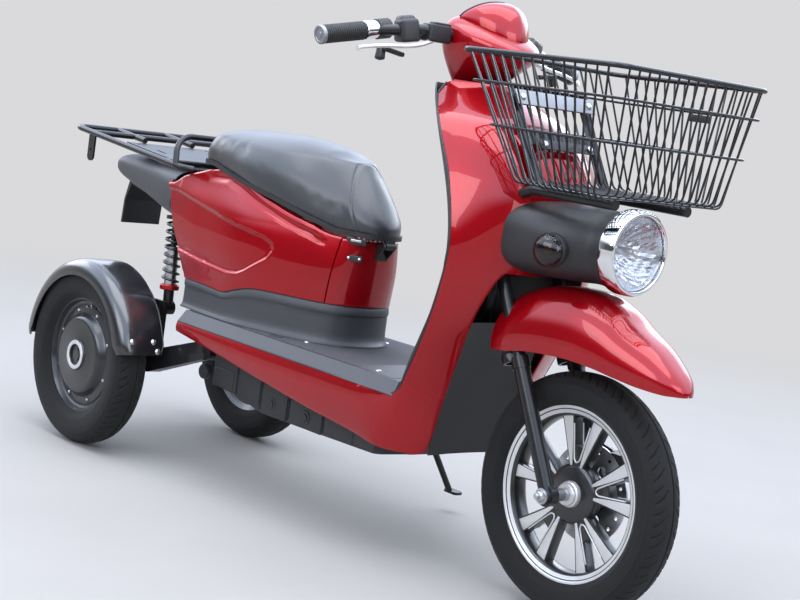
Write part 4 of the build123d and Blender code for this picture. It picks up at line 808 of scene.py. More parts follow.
# %% Collar
# columns: share of the collar's height, how far it stands out
COLLAR_FLARE = ((0.0, 13.0), (0.05, 11.5), (0.10, 5.0), (0.17, 1.5), (0.30, 0.0), (0.62, -0.5),
                (0.745, -0.5), (0.77, 1.6), (0.80, 3.4), (0.86, 3.0), (0.93, 1.8), (1.0, -1.5))
FLOOR_Z = 368
COLLAR_COLUMNS = 96
collar_grid = []
for share_up, out in COLLAR_FLARE + ((1.0, -9.0),):
    row = []
    for k in range(COLLAR_COLUMNS + 1):
        share = k / COLLAR_COLUMNS
        top = at_key(PANEL_FOOT, plan_point(440, share)[0])[0] - 1.2
        height = FLOOR_Z + 0.8 + (top - FLOOR_Z - 0.8) * share_up
        plan = plan_point(max(height, 420), share)
        nose = ease(0.70, 0.86, share)
        flare = out * (1 - 0.35 * (1 - ease(0.1, 0.5, share)))
        push_x = flare * nose * (1 if plan[0] > 0 else 0)
        push_y = flare * (1 - nose) * 0.75
        y = -(plan[1] + push_y - 2.0 * (1 - nose))
        row.append((plan[0] + push_x - 1.5 * nose, y if k < COLLAR_COLUMNS else 0.0, height))
    collar_grid.append(row)
collar = sheet_of("grey_collar", collar_grid)
face_away(collar, (-200, 0, 420))
mirrored(collar)
face_away(collar, (-200, 0, 420))
thicken(collar, 3.0, 0.6)
smooth(collar, 35)
dress(collar, "frame", grey_plastic, "grey_plastic", ("body_collar",))

# %% [markdown]
# ## Seat
# The seat is foam under tight black vinyl. Its sides lean in towards the nose and meet a gently domed
# top at a soft crease. A sculpted block would look carved, so the vinyl is filled as in a workshop:
# the form starts as rings between a lower and an upper outline, is remeshed into even cells, and air
# pressure in a short cloth simulation swells it. A cap on the movement keeps the measured size. The
# two nose seams are pressed in afterwards, because a remesh would wipe them out.

# %% Measured sizes of the seat
# right half of each outline from behind to the nose: x, half width
SEAT_LOW = ((-486, 0), (-482, 50), (-468, 102), (-438, 140), (-380, 149), (-300, 154), (-235, 153),
            (-160, 139), (-95, 117), (-45, 94), (0, 73), (36, 61), (62, 42), (76, 18), (80, 0))
SEAT_CREASE = ((-470, 0), (-467, 44), (-456, 88), (-430, 124), (-380, 135), (-300, 137), (-235, 130),
               (-175, 114), (-120, 86), (-90, 69), (-64, 50), (-46, 31), (-36, 14), (-33, 0))
# heights along x: of the lower edge, of the crease and of the crown
SEAT_LOW_Z = ((-490, 702), (-440, 700), (-390, 697), (-168, 651), (-80, 625), (-21, 609), (30, 606),
              (60, 603), (80, 600))
SEAT_CREASE_Z = ((-490, 752), (-450, 760), (-411, 763), (-340, 757), (-240, 752), (-140, 752), (-60, 754),
                 (-33, 752))
SEAT_CROWN_Z = ((-490, 756), (-440, 782), (-322, 789), (-203, 787), (-110, 773), (-60, 757), (-33, 752))
SEAT_HALF = 160
RING_POINTS = 120
SHRINK = 2.0
print("ring points", RING_POINTS)


# %% Rings of the cushion
def even_points(outline, count):
    """Points at equal steps along a smooth outline."""
    dense = through(outline, 16)
    steps = [0.0]
    for a, b in zip(dense, dense[1:]):
        steps.append(steps[-1] + math.dist(a, b))
    made, n = [], 0
    for k in range(count + 1):
        want = steps[-1] * k / count
        while n < len(dense) - 2 and steps[n + 1] < want:
            n += 1
        t = (want - steps[n]) / max(steps[n + 1] - steps[n], 1e-9)
        made.append(tuple(a + (b - a) * min(t, 1) for a, b in zip(dense[n], dense[n + 1])))
    return made


def seat_ring(place, inset=0.0):
    """One ring of the cushion: place 0 to 1 goes up the side, 1 to 2 over the top, below 0 under it."""
    points = []
    for (low_x, low_y), (top_x, top_y) in zip(even_points(SEAT_LOW, RING_POINTS),
                                              even_points(SEAT_CREASE, RING_POINTS)):
        nose = ease(-160, 40, low_x)
        low_z, top_z = at_key(SEAT_LOW_Z, low_x)[0], at_key(SEAT_CREASE_Z, top_x)[0]
        spine_x = min(max(top_x, -390), -110)
        if place <= 0:
            share = 1 + place
            x, y, z = spine_x + (low_x - spine_x) * share, low_y * share, low_z + 2
        elif place <= 1:
            lean_nose = max(place - 0.2, 0) / 0.8
            lean = lean_nose * nose + place ** 2.4 * (1 - nose)
            bulge = 5.0 * math.sin(math.pi * place) * (1 - nose)
            x = low_x + (top_x - low_x) * lean
            y = low_y + (top_y - low_y) * lean + bulge * min(1, low_y / 60)
            z = low_z + (top_z - low_z) * place
        else:
            share = place - 1
            x, y = top_x + (spine_x - top_x) * share, top_y * (1 - share)
            crown_z = at_key(SEAT_CROWN_Z, x)[0]
            z = top_z + (crown_z - top_z) * (1 - (1 - share) ** 2.2)
        points.append((x, y, z))
    ring = points + [(x, -y, z) for x, y, z in points[-2:0:-1]]
    centre = (-200, 0, 700)
    return [tuple(c + (v - c) * (1 - inset / SEAT_HALF) for v, c in zip(point, centre))
            for point in ring + ring[:1]]


# %% The cushion, filled with air
places = (-1, -0.6, -0.25, -0.04, 0, 0.04, 0.1, 0.18, 0.27, 0.36, 0.46, 0.56, 0.66, 0.76, 0.86, 0.94, 0.98,
          1.0, 1.03, 1.07, 1.13, 1.22, 1.34, 1.5, 1.7, 1.85, 2.0)
cushion = sheet_of("seat_cushion_vinyl", [seat_ring(place, SHRINK) for place in places], closed=True)
apply_modifier(cushion, "REMESH", mode="VOXEL", voxel_size=6 * MM)
LAST_FRAME = 20
CAP = 5 * MM
SIDE_TOP, SIDE_SHARE_OF_MOVE = 640 * MM, 0.4
start_points = [v.co.copy() for v in cushion.data.vertices]
active(cushion)
cloth = cushion.modifiers.new("Air", "CLOTH")
cloth.settings.use_pressure = True
cloth.settings.uniform_pressure_force = 4
cloth.settings.effector_weights.gravity = 0
cloth.settings.quality = 4
cloth.point_cache.frame_start, cloth.point_cache.frame_end = 1, LAST_FRAME
for number in range(1, LAST_FRAME + 1):
    scene.frame_set(number)
bpy.ops.object.modifier_apply(modifier=cloth.name)
scene.frame_set(1)
for vertex, start in zip(cushion.data.vertices, start_points):
    moved = vertex.co - start
    if moved.length > CAP:
        moved *= CAP / moved.length
    free = moved.z > 0 or vertex.co.z > SIDE_TOP
    vertex.co = start + moved * (1 if free else SIDE_SHARE_OF_MOVE)
apply_modifier(cushion, "SMOOTH", factor=0.5, iterations=6)
apply_modifier(cushion, "SUBSURF", levels=1, render_levels=1)

# %% Nose seams
# the seam's plane: where it meets the lower edge, how much it slopes back, the length of its normal
SEAM_X, SEAM_Z, SEAM_SLOPE, SEAM_NORMAL = 33, 610, 0.493, 1.115
SEAM_REACH, SEAM_TOP = 9, 760
for vertex in cushion.data.vertices:
    x, y, z = vertex.co / MM
    away = (x + SEAM_SLOPE * (z - SEAM_Z) - SEAM_X) / SEAM_NORMAL
    if abs(away) < SEAM_REACH and z < SEAM_TOP:
        groove = 1.9 * math.exp(-(away / 1.9) ** 2)
        ridge = 0.7 * math.exp(-((abs(away) - 4.2) / 2.2) ** 2)
        vertex.co -= vertex.normal * (groove - ridge) * MM
smooth(cushion, 180)
dress(cushion, "seat", vinyl, "vinyl", ("seat_cushion",))

# %% [markdown]
# ## Front mudguard
# The front mudguard is a painted hood over the tyre. It turns with the fork inside the leg shield, so
# its width is as important as its shape. Bending a flat sheet would crease it at the tip. Here arched
# sections run from the rear edge to a low tip, and each section is a quarter of a superellipse from
# the lower edge to the crown, so the sides stand upright and the crown is broad.

# %% Front mudguard
# columns: x ahead of the axle, half width, height of the lower edge and of the crown
GUARD = ((-190, 93, 464, 559), (-168, 96, 466, 577), (-145, 97, 469, 590), (-90, 95, 479, 606),
         (-10, 87, 483, 608), (50, 79, 479, 589), (90, 73, 473, 566), (146, 62, 465, 537),
         (190, 45, 461, 505), (210, 28, 461, 487), (219, 14, 461, 474), (222, 3, 461.5, 466))
FRONT_AXLE_X = 690
AROUND = 30
guard_rows = []
for x, half, low_z, top_z in through(GUARD, 7):
    row = []
    for k in range(AROUND + 1):
        turn_by = math.pi / 2 * k / AROUND
        y = half * math.cos(turn_by) ** (2 / 3.0)
        z = low_z + (top_z - low_z) * math.sin(turn_by) ** (2 / 2.5)
        tuck = 3.0 * (1 - ease(0, 26, z - low_z))
        row.append((FRONT_AXLE_X + x, -(y - tuck * min(1, half / 60)) if k < AROUND else 0.0, z))
    guard_rows.append(row)
mudguard = sheet_of("front_mudguard", guard_rows)
face_away(mudguard, (650, 0, 420))
mirrored(mudguard)
face_away(mudguard, (650, 0, 420))
thicken(mudguard, 3.0, 0.8)
smooth(mudguard, 48)
dress(mudguard, "steering", red_paint, "red_paint", ("front_fender",))

# %% [markdown]
# ## Tyres
# A tyre is moulded rubber: a rounded section with ridges on its walls and a tread of curved slashes
# beside one groove. Cutting every slash with a boolean would be slow and leave bad faces. A tyre here
# is one section swept round the axle in small steps, and the tread is pressed in by moving its
# points towards the axle. The steps are fine enough for the edges of the slashes to read.

# %% Section of a tyre
TREAD_DEPTH = 3.0


def tyre_section(outer_r, width, rim_r, rim_w, across):
    """Outline of a tyre as (radius, offset, place across the tread) points, all the way round."""
    shoulder_y, shoulder_r = width * 0.40, outer_r - width * 0.125
    wide_r, half = (outer_r + rim_r) / 2 + 1, width / 2
    tread = []
    for n in range(across + 1):
        s = n / across * 2 - 1
        y = shoulder_y * s
        drop = (outer_r - shoulder_r) * (0.55 * s * s + 0.45 * s ** 4)
        tread.append((outer_r - drop, y))
    side = through([(shoulder_r, shoulder_y), (shoulder_r - 8, half * 0.93), (wide_r + 6, half * 0.995),
                    (wide_r - 6, half), (rim_r + 14, half * 0.93), (rim_r + 5, rim_w / 2 + 6),
                    (rim_r + 0.6, rim_w / 2 + 1.5), (rim_r - 6, rim_w / 2 - 4)], 5)
    ridges = []
    for r, y in side:
        ridge_radii = (rim_r + 9, rim_r + 13.5, shoulder_r - 12)
        ridges.append((r, y + 0.9 * sum(math.exp(-((r - at) / 1.2) ** 2) for at in ridge_radii)))
    left = [(r, -y) for r, y in reversed(ridges)]
    floor_r = rim_r - 6
    inner = [(floor_r, rim_w / 2 - 10), (floor_r, -(rim_w / 2 - 10))]
    section = left[:-1] + tread + ridges[1:] + inner
    marks = [None] * (len(left) - 1) + [y for r, y in tread] + [None] * (len(ridges) - 1 + len(inner))
    return section, marks


# %% Pattern of the tread
# columns: shift along the tread, inner end, sweep, breadth of a long and of a short slash
SLASHES = ((0.0, 9.0, 26.0, 2.3), (0.5, 17.0, 15.0, 1.7))
print("tread depth", TREAD_DEPTH, "mm")


def tread_press(along, offset, half, pitch):
    """Depth of the tread pattern at a place along and across the tread, in millimetres."""
    deep = 1.0 - ease(0.9, 1.9, abs(offset - 5.0))
    side = 1 if offset > 0 else -1
    s = abs(offset)
    for shift, start, sweep, broad in SLASHES:
        if start - 3 < s:
            part = min(max((s - start) / (half + 2 - start), -0.2), 1)
            lead = sweep * (1 - max(part, 0)) ** 1.5
            if part < 0.12:
                lead -= 9 * ((0.12 - part) / 0.12) ** 2 * 0.5
            u = (along - lead - pitch * (shift + (0.25 if side > 0 else 0))) % pitch
            u = min(u, pitch - u)
            taper = ease(start - 2.5, start + 3, s)
            wide = broad * (0.45 + 0.55 * min(max(part, 0) * 1.6, 1))
            deep = max(deep, taper * (1 - ease(wide * 0.55, wide * 1.25, u)))
    return TREAD_DEPTH * deep


# %% Tyres
def treaded_tyre(name, body, stands_for, x, y, outer_r, width, rim_r, rim_w, around, across, slashes):
    """A tyre with its tread pattern; around and across are its numbers of steps."""
    section, marks = tyre_section(outer_r, width, rim_r, rim_w, across)
    section.append(section[0])
    marks.append(marks[0])
    pitch = 2 * math.pi * outer_r / slashes
    rows = []
    for n in range(around + 1):
        turn_by = 2 * math.pi * (n % around) / around
        cos, sin = math.cos(turn_by), math.sin(turn_by)
        row = []
        for (r, offset), mark in zip(section, marks):
            if mark is not None:
                r -= tread_press(turn_by * outer_r, mark, width * 0.40, pitch)
            row.append((x + r * cos, y + offset, outer_r + r * sin))
        rows.append(row)
    piece = sheet_of(name, rows, closed=True)
    smooth(piece, 50)
    return dress(piece, body, tyre_rubber, "tyre", (stands_for,))


FRONT_TYRE_R = 228.5
REAR_TYRE_R = 207.5
REAR_AXLE_X = -654
REAR_HALF_TRACK = 248
# columns: radius, width, rim radius, rim width, steps around, steps across the tread, slashes
FRONT_TYRE = (FRONT_TYRE_R, 84, 166, 52, 640, 50, 34)
REAR_TYRE = (REAR_TYRE_R, 82, 139, 54, 500, 38, 31)
treaded_tyre("front_tyre_tread", "front_wheel", "front_tyre", FRONT_AXLE_X, 0, *FRONT_TYRE)
for label, side in (("right", -1), ("left", 1)):
    treaded_tyre("rear_tyre_tread_" + label, "rear_wheel_" + label, "rear_tyre_" + label, REAR_AXLE_X,
                 side * REAR_HALF_TRACK, *REAR_TYRE)

# %% [markdown]
# ## Front wheel
# The alloy wheel is cast and painted black, then its face is cut bright: the lip, ten wedge-shaped
# spoke faces and a fine U between the two spokes of each pair. One mesh with two materials could do
# it, but two pieces keep the paint and the bright metal apart. Round parts are
# turned, and a spoke is a drawn outline that is extruded and bevelled.

# %% Measured sizes of the front wheel
SPOKE_PAIRS = 5
FACE_Y = 12.0
U_RADII = (132, 118, 104, 90, 76, 66)
WELL = ((166, 26), (166, 22.5), (163, 22), (152, 21.5), (149, 20), (146, 14), (144.5, 8), (144, 0))
barrel_profile = [(r, y) for r, y in WELL] + [(r, -y) for r, y in reversed(WELL[:-1])]
barrel_back = [(163, -26), (158, -24), (155, -16), (152, 0), (155, 16), (158, 24), (163, 26), (166, 26)]
wheel_centre = (FRONT_AXLE_X, 0, FRONT_TYRE_R)
print("front wheel centre", wheel_centre)


# %% Helpers for the front wheel
def wheel_point(r, angle, y):
    """A point of the front wheel from its radius, its angle in degrees and its offset."""
    angle = math.radians(angle)
    return Vector((FRONT_AXLE_X + r * math.cos(angle), y, FRONT_TYRE_R + r * math.sin(angle)))


def spoke_outline(pair_angle, lean, grow, r_from, r_to):
    """The wedge of one spoke of a pair, wider by grow on each side."""
    near, far = [], []
    for step in range(9):
        r = r_from + (r_to - r_from) * step / 8
        half = 1.6 + 10.2 * ((r - 48) / 100) ** 0.9 if r > 48 else 1.6
        centre = pair_angle + lean * (12.5 + 2.5 * (r - 40) / 110)
        spread = math.degrees((half + grow) / r)
        near.append(wheel_point(r, centre - spread, 0))
        far.append(wheel_point(r, centre + spread, 0))
    return near + far[::-1]


def slab(name, outline, low, high, edge):
    """A plate with this outline on the wheel's face, from one offset to another, with soft edges."""
    deselect()
    bpy.ops.mesh.primitive_circle_add(vertices=len(outline), fill_type="NGON")
    piece = bpy.context.object
    piece.name = name
    for vertex, point in zip(piece.data.vertices, outline):
        vertex.co = Vector((point.x, low, point.z)) * MM
    bpy.ops.object.mode_set(mode="EDIT")
    bpy.ops.mesh.select_all(action="SELECT")
    bpy.ops.mesh.extrude_region_move(TRANSFORM_OT_translate={"value": (0, (high - low) * MM, 0)})
    bpy.ops.mesh.select_all(action="SELECT")
    bpy.ops.mesh.normals_make_consistent(inside=False)
    bpy.ops.object.mode_set(mode="OBJECT")
    apply_modifier(piece, "BEVEL", width=edge * MM, segments=2, limit_method="ANGLE",
                   angle_limit=math.radians(40))
    return piece


# %% Casting and spokes
HUB_DISC = ((0, -15), (50, -15), (55, -12), (57, -8), (57, 8), (55, 12), (50, 15), (0, 15))
black_parts = [turned("barrel", barrel_profile + barrel_back, wheel_centre, steps=144),
               turned("hub_disc", HUB_DISC, wheel_centre, steps=72)]
bright_parts = []
for n in range(SPOKE_PAIRS):
    pair_angle = 90 + 360 / SPOKE_PAIRS * n
    for lean in (-1, 1):
        cast = spoke_outline(pair_angle, lean, 3.2, 30, 148)
        black_parts.append(slab("spoke", cast, -FACE_Y, FACE_Y, 1.2))
        cut = spoke_outline(pair_angle, lean, 0, 54, 151)
        for face in (-1, 1):
            bright_parts.append(slab("face", cut, face * (FACE_Y - 0.4), face * (FACE_Y + 1.0), 0.35))
    for face in (-1, 1):
        y = face * (FACE_Y + 0.4)
        u_path = []
        for lean, order in ((-1, U_RADII), (1, U_RADII[::-1])):
            for r in order:
                u_path.append(wheel_point(r, pair_angle + lean * (9.4 - 4.2 * (70 / r) ** 1.5 + 1.0), y))
        tip = [wheel_point(r, pair_angle + off, y) for r, off in ((61.5, -2.6), (60.0, 0), (61.5, 2.6))]
        bright_parts.append(pipes("u_line", [u_path[:6] + tip + u_path[6:]], 1.5))
    web = [wheel_point(r, pair_angle - 9.0, 0) for r in (50, 70, 92)]
    web += [wheel_point(r, pair_angle + 9.0, 0) for r in (92, 70, 50)]
    black_parts.append(slab("web", web, -FACE_Y + 0.6, FACE_Y - 0.6, 1.0))

# %% Cut lip and hub ring
LIP = ((166.2, 22.0), (166.4, 26.2), (164.5, 26.8), (161.5, 26.2), (159.5, 24.4), (158.6, 23.8),
       (153.5, 22.6), (151.2, 21.6), (150.2, 19.2), (149.6, 16.5), (147.2, 14.4), (146.4, 12.2),
       (149.5, 12.0), (160, 19), (166.2, 22.0))
HUB_RING = ((0, 30), (11, 30), (12, 31), (19.5, 31), (21, 29.5), (21.5, 24), (24, 22), (25, 17), (25, 12),
            (0, 12))
for face in (-1, 1):
    bright_parts.append(turned("lip", [(r, face * y) for r, y in LIP], wheel_centre, steps=144))
    bright_parts.append(turned("hub_ring", [(r, face * y) for r, y in HUB_RING], wheel_centre, steps=64))
wheel_black = joined("front_wheel_casting", black_parts)
smooth(wheel_black, 40)
dress(wheel_black, "front_wheel", rim_black, "rim_black", ("front_rim",))
wheel_bright = joined("front_wheel_cut_faces", bright_parts)
smooth(wheel_bright, 40)
dress(wheel_bright, "front_wheel", alloy, "alloy")

# %% [markdown]
# ## Glass and lamps
# The lamps have clear or smoked moulded lenses over bright bowls. A lens is a thin shell, and a solid
# block of glass would bend the light far too much, so each lens has two faces and a low index. A fine
# ripple in its bump stands for the moulded flutes. The bowl behind is turned, and its points are moved
# in and out to give the facets that break up the reflections.


# %% Lens finishes
def lens(name, colour, rough, ripple):
    """A transparent moulding with fine moulded ripples."""
    made = finish(name, colour, shade=0.85, mottle=30, rough=rough, grain=ripple, grain_depth=0.12,
                  coat=0.6)
    shader = made.node_tree.nodes["Principled BSDF"]
    shader.inputs["Transmission Weight"].default_value = 0.97
    shader.inputs["IOR"].default_value = 1.25
    return made


clear_lens = lens("clear_lens", (0.97, 0.98, 1.0), (0.0, 0.03), 90)
smoked_lens = lens("smoked_lens", (0.20, 0.17, 0.18), (0.03, 0.08), 120)
amber_bulb = finish("amber_bulb", (0.60, 0.15, 0.02), shade=0.7, mottle=60, rough=(0.2, 0.3),
                    coat=0.6)
reflector_chrome = finish("reflector", (0.60, 0.61, 0.64), shade=0.95, mottle=60, rough=(0.09, 0.16),
                          grain=300, grain_depth=0.01, metal=0.9)


# %% Helpers for levers and blocks
def limb(name, centres, sizes, sides=16, across=(0, 0, 1)):
    """A closed bar along a path, with its own width and height at each point, in millimetres."""
    rows = []
    for n, (place, (wide, high)) in enumerate(zip(centres, sizes)):
        ahead = Vector(centres[min(n + 1, len(centres) - 1)]) - Vector(centres[max(n - 1, 0)])
        ahead.normalize()
        up = (Vector(across) - ahead * Vector(across).dot(ahead)).normalized()
        out = ahead.cross(up)
        angles = [2 * math.pi * (k % sides) / sides for k in range(sides + 1)]
        rows.append([Vector(place) + out * wide * math.cos(a) + up * high * math.sin(a) for a in angles])
    rows = [[Vector(centres[0])] * (sides + 1)] + rows + [[Vector(centres[-1])] * (sides + 1)]
    piece = sheet_of(name, rows, closed=True)
    smooth(piece, 50)
    return piece


def rounded_block(name, centre, size, edge=4.0, spin=(0, 0, 0), taper=1.0):
    """A moulded block with round edges: its size along x, y and z, turned by degrees."""
    deselect()
    bpy.ops.mesh.primitive_cube_add(size=1)
    piece = bpy.context.object
    piece.name = name
    about_x, about_y, about_z = (Matrix.Rotation(math.radians(a), 3, axis) for a, axis in zip(spin, "XYZ"))
    turn_by = about_z @ about_y @ about_x
    for vertex in piece.data.vertices:
        local = Vector([c * s for c, s in zip(vertex.co, size)])
        if vertex.co.z > 0:
            local.x *= taper
            local.y *= taper
        vertex.co = (Vector(centre) + turn_by @ local) * MM
    apply_modifier(piece, "BEVEL", width=edge * MM, segments=4, limit_method="NONE")
    smooth(piece, 35)
    return piece


# %% Headlamp
LAMP_X, LAMP_Z = 716, 690
BOWL_R = 69
FORWARD = (1, 0, 0)
lamp_centre = (LAMP_X, 0, LAMP_Z)
ring_profile = ((70, 2), (75.5, 0), (78, 1.5), (79, 5), (79, 26), (78.4, 31), (76.5, 34.5), (73.5, 36),
                (70.5, 35.5), (69, 33.5), (69, 30), (70, 27), (70, 2))
turned_piece("headlamp_ring", ring_profile, lamp_centre, FORWARD, 120, 40,
             "frame", chrome, "chrome", ("headlamp_shell",))
bowl_rows = []
for n in range(49):
    angle = 2 * math.pi * (n % 48) / 48
    row = []
    for k in range(15):
        r = BOWL_R * k / 14
        depth = -26 + 54 * (r / BOWL_R) ** 2
        facet = 1.6 * (1 if n % 2 else -1) * ease(14, 30, r) * (1 - ease(58, 68, r)) * (0.4 if k % 2 else 1)
        row.append((LAMP_X + depth + facet, r * math.cos(angle), LAMP_Z + r * math.sin(angle)))
    bowl_rows.append(row)
bowl = sheet_of("headlamp_reflector", bowl_rows, closed=True)
face_away(bowl, (LAMP_X + 300, 0, LAMP_Z))
thicken(bowl, 1.0, 0)
dress(bowl, "frame", reflector_chrome, "chrome")
turned_piece("headlamp_bulb", ((0, 16), (5, 16), (8.5, 12), (9, 4), (8, -8), (8, -22), (0, -22)),
             lamp_centre, FORWARD, 32, 40, "frame", steel, "steel")
lens_profile = ((0, 37.5), (20, 37), (40, 35.6), (56, 33.2), (66, 30.6), (69.3, 29.2), (69.3, 27.4),
                (66, 28.4), (56, 31), (40, 33.4), (20, 34.8), (0, 35.2))
turned_piece("headlamp_glass", lens_profile, lamp_centre, FORWARD, 96, 60,
             "frame", clear_lens, "clear_lens", ("headlamp_lens",))

# %% Lamp housing
# columns: x, half width, half height, middle height, squareness
HOUSING = ((450, 120, 62, 687, 3.4), (470, 129, 70, 687, 3.3), (510, 130, 71.5, 687, 3.1),
           (560, 127, 72, 687, 2.9), (610, 118, 71, 688, 2.6), (645, 106, 70, 689, 2.4),
           (668, 93, 69, 690, 2.2), (682, 82, 69, 690, 2.05), (692, 76, 70, 690, 2.0),
           (704, 74, 72, 690, 2.0), (717, 73.5, 73.5, 690, 2.0))
housing = oval_shell("lamp_housing", through(HOUSING, 5), 96, (600, 0, 688))
dress(housing, "frame", black_plastic, "black_plastic", ("nose_housing",))

# %% Indicators
INDICATOR_BASE = ((0, 4), (33, 4), (33.5, 10), (32, 17), (30.5, 19), (29.5, 17), (0, 15))
INDICATOR_BULB = ((0, 29), (5, 28), (8, 24), (8.5, 17), (0, 16))
INDICATOR_LENS = ((0, 35), (9, 34.4), (18, 32), (25, 27.4), (29, 21), (29.5, 18), (27.6, 18), (27, 20.6),
                  (23.6, 25.6), (17, 29.8), (9, 32), (0, 32.6))
for label, side in (("right", -1), ("left", 1)):
    centre = (634, side * 104, 674)
    way = Vector((0.28, side, 0)).normalized()
    turned_piece("indicator_base_" + label, INDICATOR_BASE, centre, way, 64, 40,
                 "frame", black_plastic, "black_plastic", ("indicators",) if side < 0 else ())
    turned_piece("indicator_bulb_" + label, INDICATOR_BULB, centre, way, 32, 40,
                 "frame", amber_bulb, "smoked_lens")
    turned_piece("indicator_lens_" + label, INDICATOR_LENS, centre, way, 48, 60,
                 "frame", smoked_lens, "smoked_lens")

# %% [markdown]
# ## Basket
# The basket is welded steel wire under black paint. Long wires run down one side, under the floor and
# up the other. Two light hoops and a thicker rim tie them together. A Wireframe modifier on a box
# would make square wires that all meet in one plane, but real wires pass over each other, so each is a
# path of its own with a round section.

# %% Measured sizes of the basket
# rows: height, rear x, front x, rear half width, front half width
BASKET = ((1013, 433, 821, 217, 210), (959, 465, 814, 207, 202), (883, 511, 803, 193, 190),
          (789, 568, 790, 175, 175))
SIDE_WIRES = 14
END_WIRES = 15
WIRE_R = 2.1
RIM_Z, WIRE_TOP, BASKET_LOW = 1013, 1011, 789
HOOP_HEIGHTS = (959, 883)
HOOP_OUT = 3.2
FLOOR_LOW = BASKET_LOW - 2
print("basket wires", SIDE_WIRES + END_WIRES)


# %% Corners of the basket
def basket_corner(height):
    """The basket's rear x, front x, rear half width and front half width at a height."""
    rows = sorted(BASKET)
    for low, top in zip(rows, rows[1:]):
        if height <= top[0]:
            t = (height - low[0]) / (top[0] - low[0])
            return [a + (b - a) * t for a, b in zip(low[1:], top[1:])]
    return rows[-1][1:]


def basket_hoop(height, grow, corner):
    """A closed round-cornered hoop of the basket."""
    rear_x, front_x, rear_half, front_half = basket_corner(height)
    corners = [(rear_x - grow, -rear_half - grow, height), (front_x + grow, -front_half - grow, height),
               (front_x + grow, front_half + grow, height), (rear_x - grow, rear_half + grow, height)]
    middle_point = tuple((a + b) / 2 for a, b in zip(corners[3], corners[0]))
    return rounded_path([middle_point] + corners + [middle_point], corner, 8)[:-1]


# %% Hoops and wires
hoop_parts = [pipes("rim", [basket_hoop(RIM_Z, 0, 34)], 5.0, 3, closed=True)]
hoop_parts += [pipes("hoop", [basket_hoop(z, HOOP_OUT, 26)], 2.6, 2, closed=True) for z in HOOP_HEIGHTS]
wire_paths = []
top, low = basket_corner(WIRE_TOP), basket_corner(BASKET_LOW)
for n in range(1, SIDE_WIRES + 1):
    share = n / (SIDE_WIRES + 1)
    top_x, low_x = top[0] + (top[1] - top[0]) * share, low[0] + (low[1] - low[0]) * share
    top_half, low_half = top[2] + (top[3] - top[2]) * share, low[2] + (low[3] - low[2]) * share
    corners = [(top_x, -top_half + 1, WIRE_TOP), (low_x, -low_half, FLOOR_LOW),
               (low_x, low_half, FLOOR_LOW), (top_x, top_half - 1, WIRE_TOP)]
    wire_paths.append(rounded_path(corners, 14, 5))
for n in range(1, END_WIRES + 1):
    share = n / (END_WIRES + 1) * 2 - 1
    corners = [(top[0] + 1, share * top[2], WIRE_TOP), (low[0], share * low[2], FLOOR_LOW + 2 * WIRE_R),
               (low[1], share * low[3], FLOOR_LOW + 2 * WIRE_R), (top[1] - 1, share * top[3], WIRE_TOP)]
    wire_paths.append(rounded_path(corners, 14, 5))
hoop_parts.append(pipes("wires", wire_paths, WIRE_R, 1))
basket = joined("wire_basket", hoop_parts)
dress(basket, "frame", satin_black, "black_metal", ("basket",))

# %% Basket plates and bolts
rear_foot, rear_rim = Vector((568, 0, BASKET_LOW)), Vector((433, 0, RIM_Z))
rear_way = (rear_rim - rear_foot).normalized()
rear_out = Vector((rear_way.z, 0, -rear_way.x))


def basket_plate(name, along, height, half, stand_off, material, slot):
    """A flat bar across the basket's back, with a bolt near each end."""
    centre = rear_foot + rear_way * along + rear_out * stand_off
    tilt = math.degrees(math.atan2(rear_way.x, rear_way.z))
    bar = rounded_block(name, centre, (2.6, 2 * half, height), 1.2, (0, tilt, 0))
    dress(bar, "frame", material, slot)
    places = [centre + Vector((0, side * half * 0.86, 0)) + rear_out * 1.0 for side in (-1, 1)]
    heads = joined(name + "_bolts", [bolt("bolt", place, rear_out, 7, 5) for place in places])
    smooth(heads, 30)
    dress(heads, "frame", steel, "steel")


zinc = finish("zinc_plate", (0.30, 0.31, 0.33), shade=0.85, mottle=24, rough=(0.4, 0.55), grain=900,
              grain_depth=0.02, metal=0.7)
basket_plate("basket_upper_plate", 172, 31, 106, 8.5, zinc, "steel")
basket_plate("basket_lower_plate", 78, 20, 72, 6.5, satin_black, "black_metal")
label_plate = rounded_block("basket_side_plate", (672, 199, 948), (52, 2.4, 14), 0.9, (0, 0, -1))
dress(label_plate, "frame", black_plastic, "black_plastic")

# %% [markdown]
# ## Cowl and controls
# The cowl is a moulded cover over the handlebar's middle, flat to the rider and pointed ahead. It could
# be sculpted from a sphere, but its widths were measured at stated heights, so it is a stack of
# egg-shaped rings that tilt as they rise. A small visor in the same paint, with a black edge, stands
# on it. The controls are small mouldings and turned parts along the line of each bar.

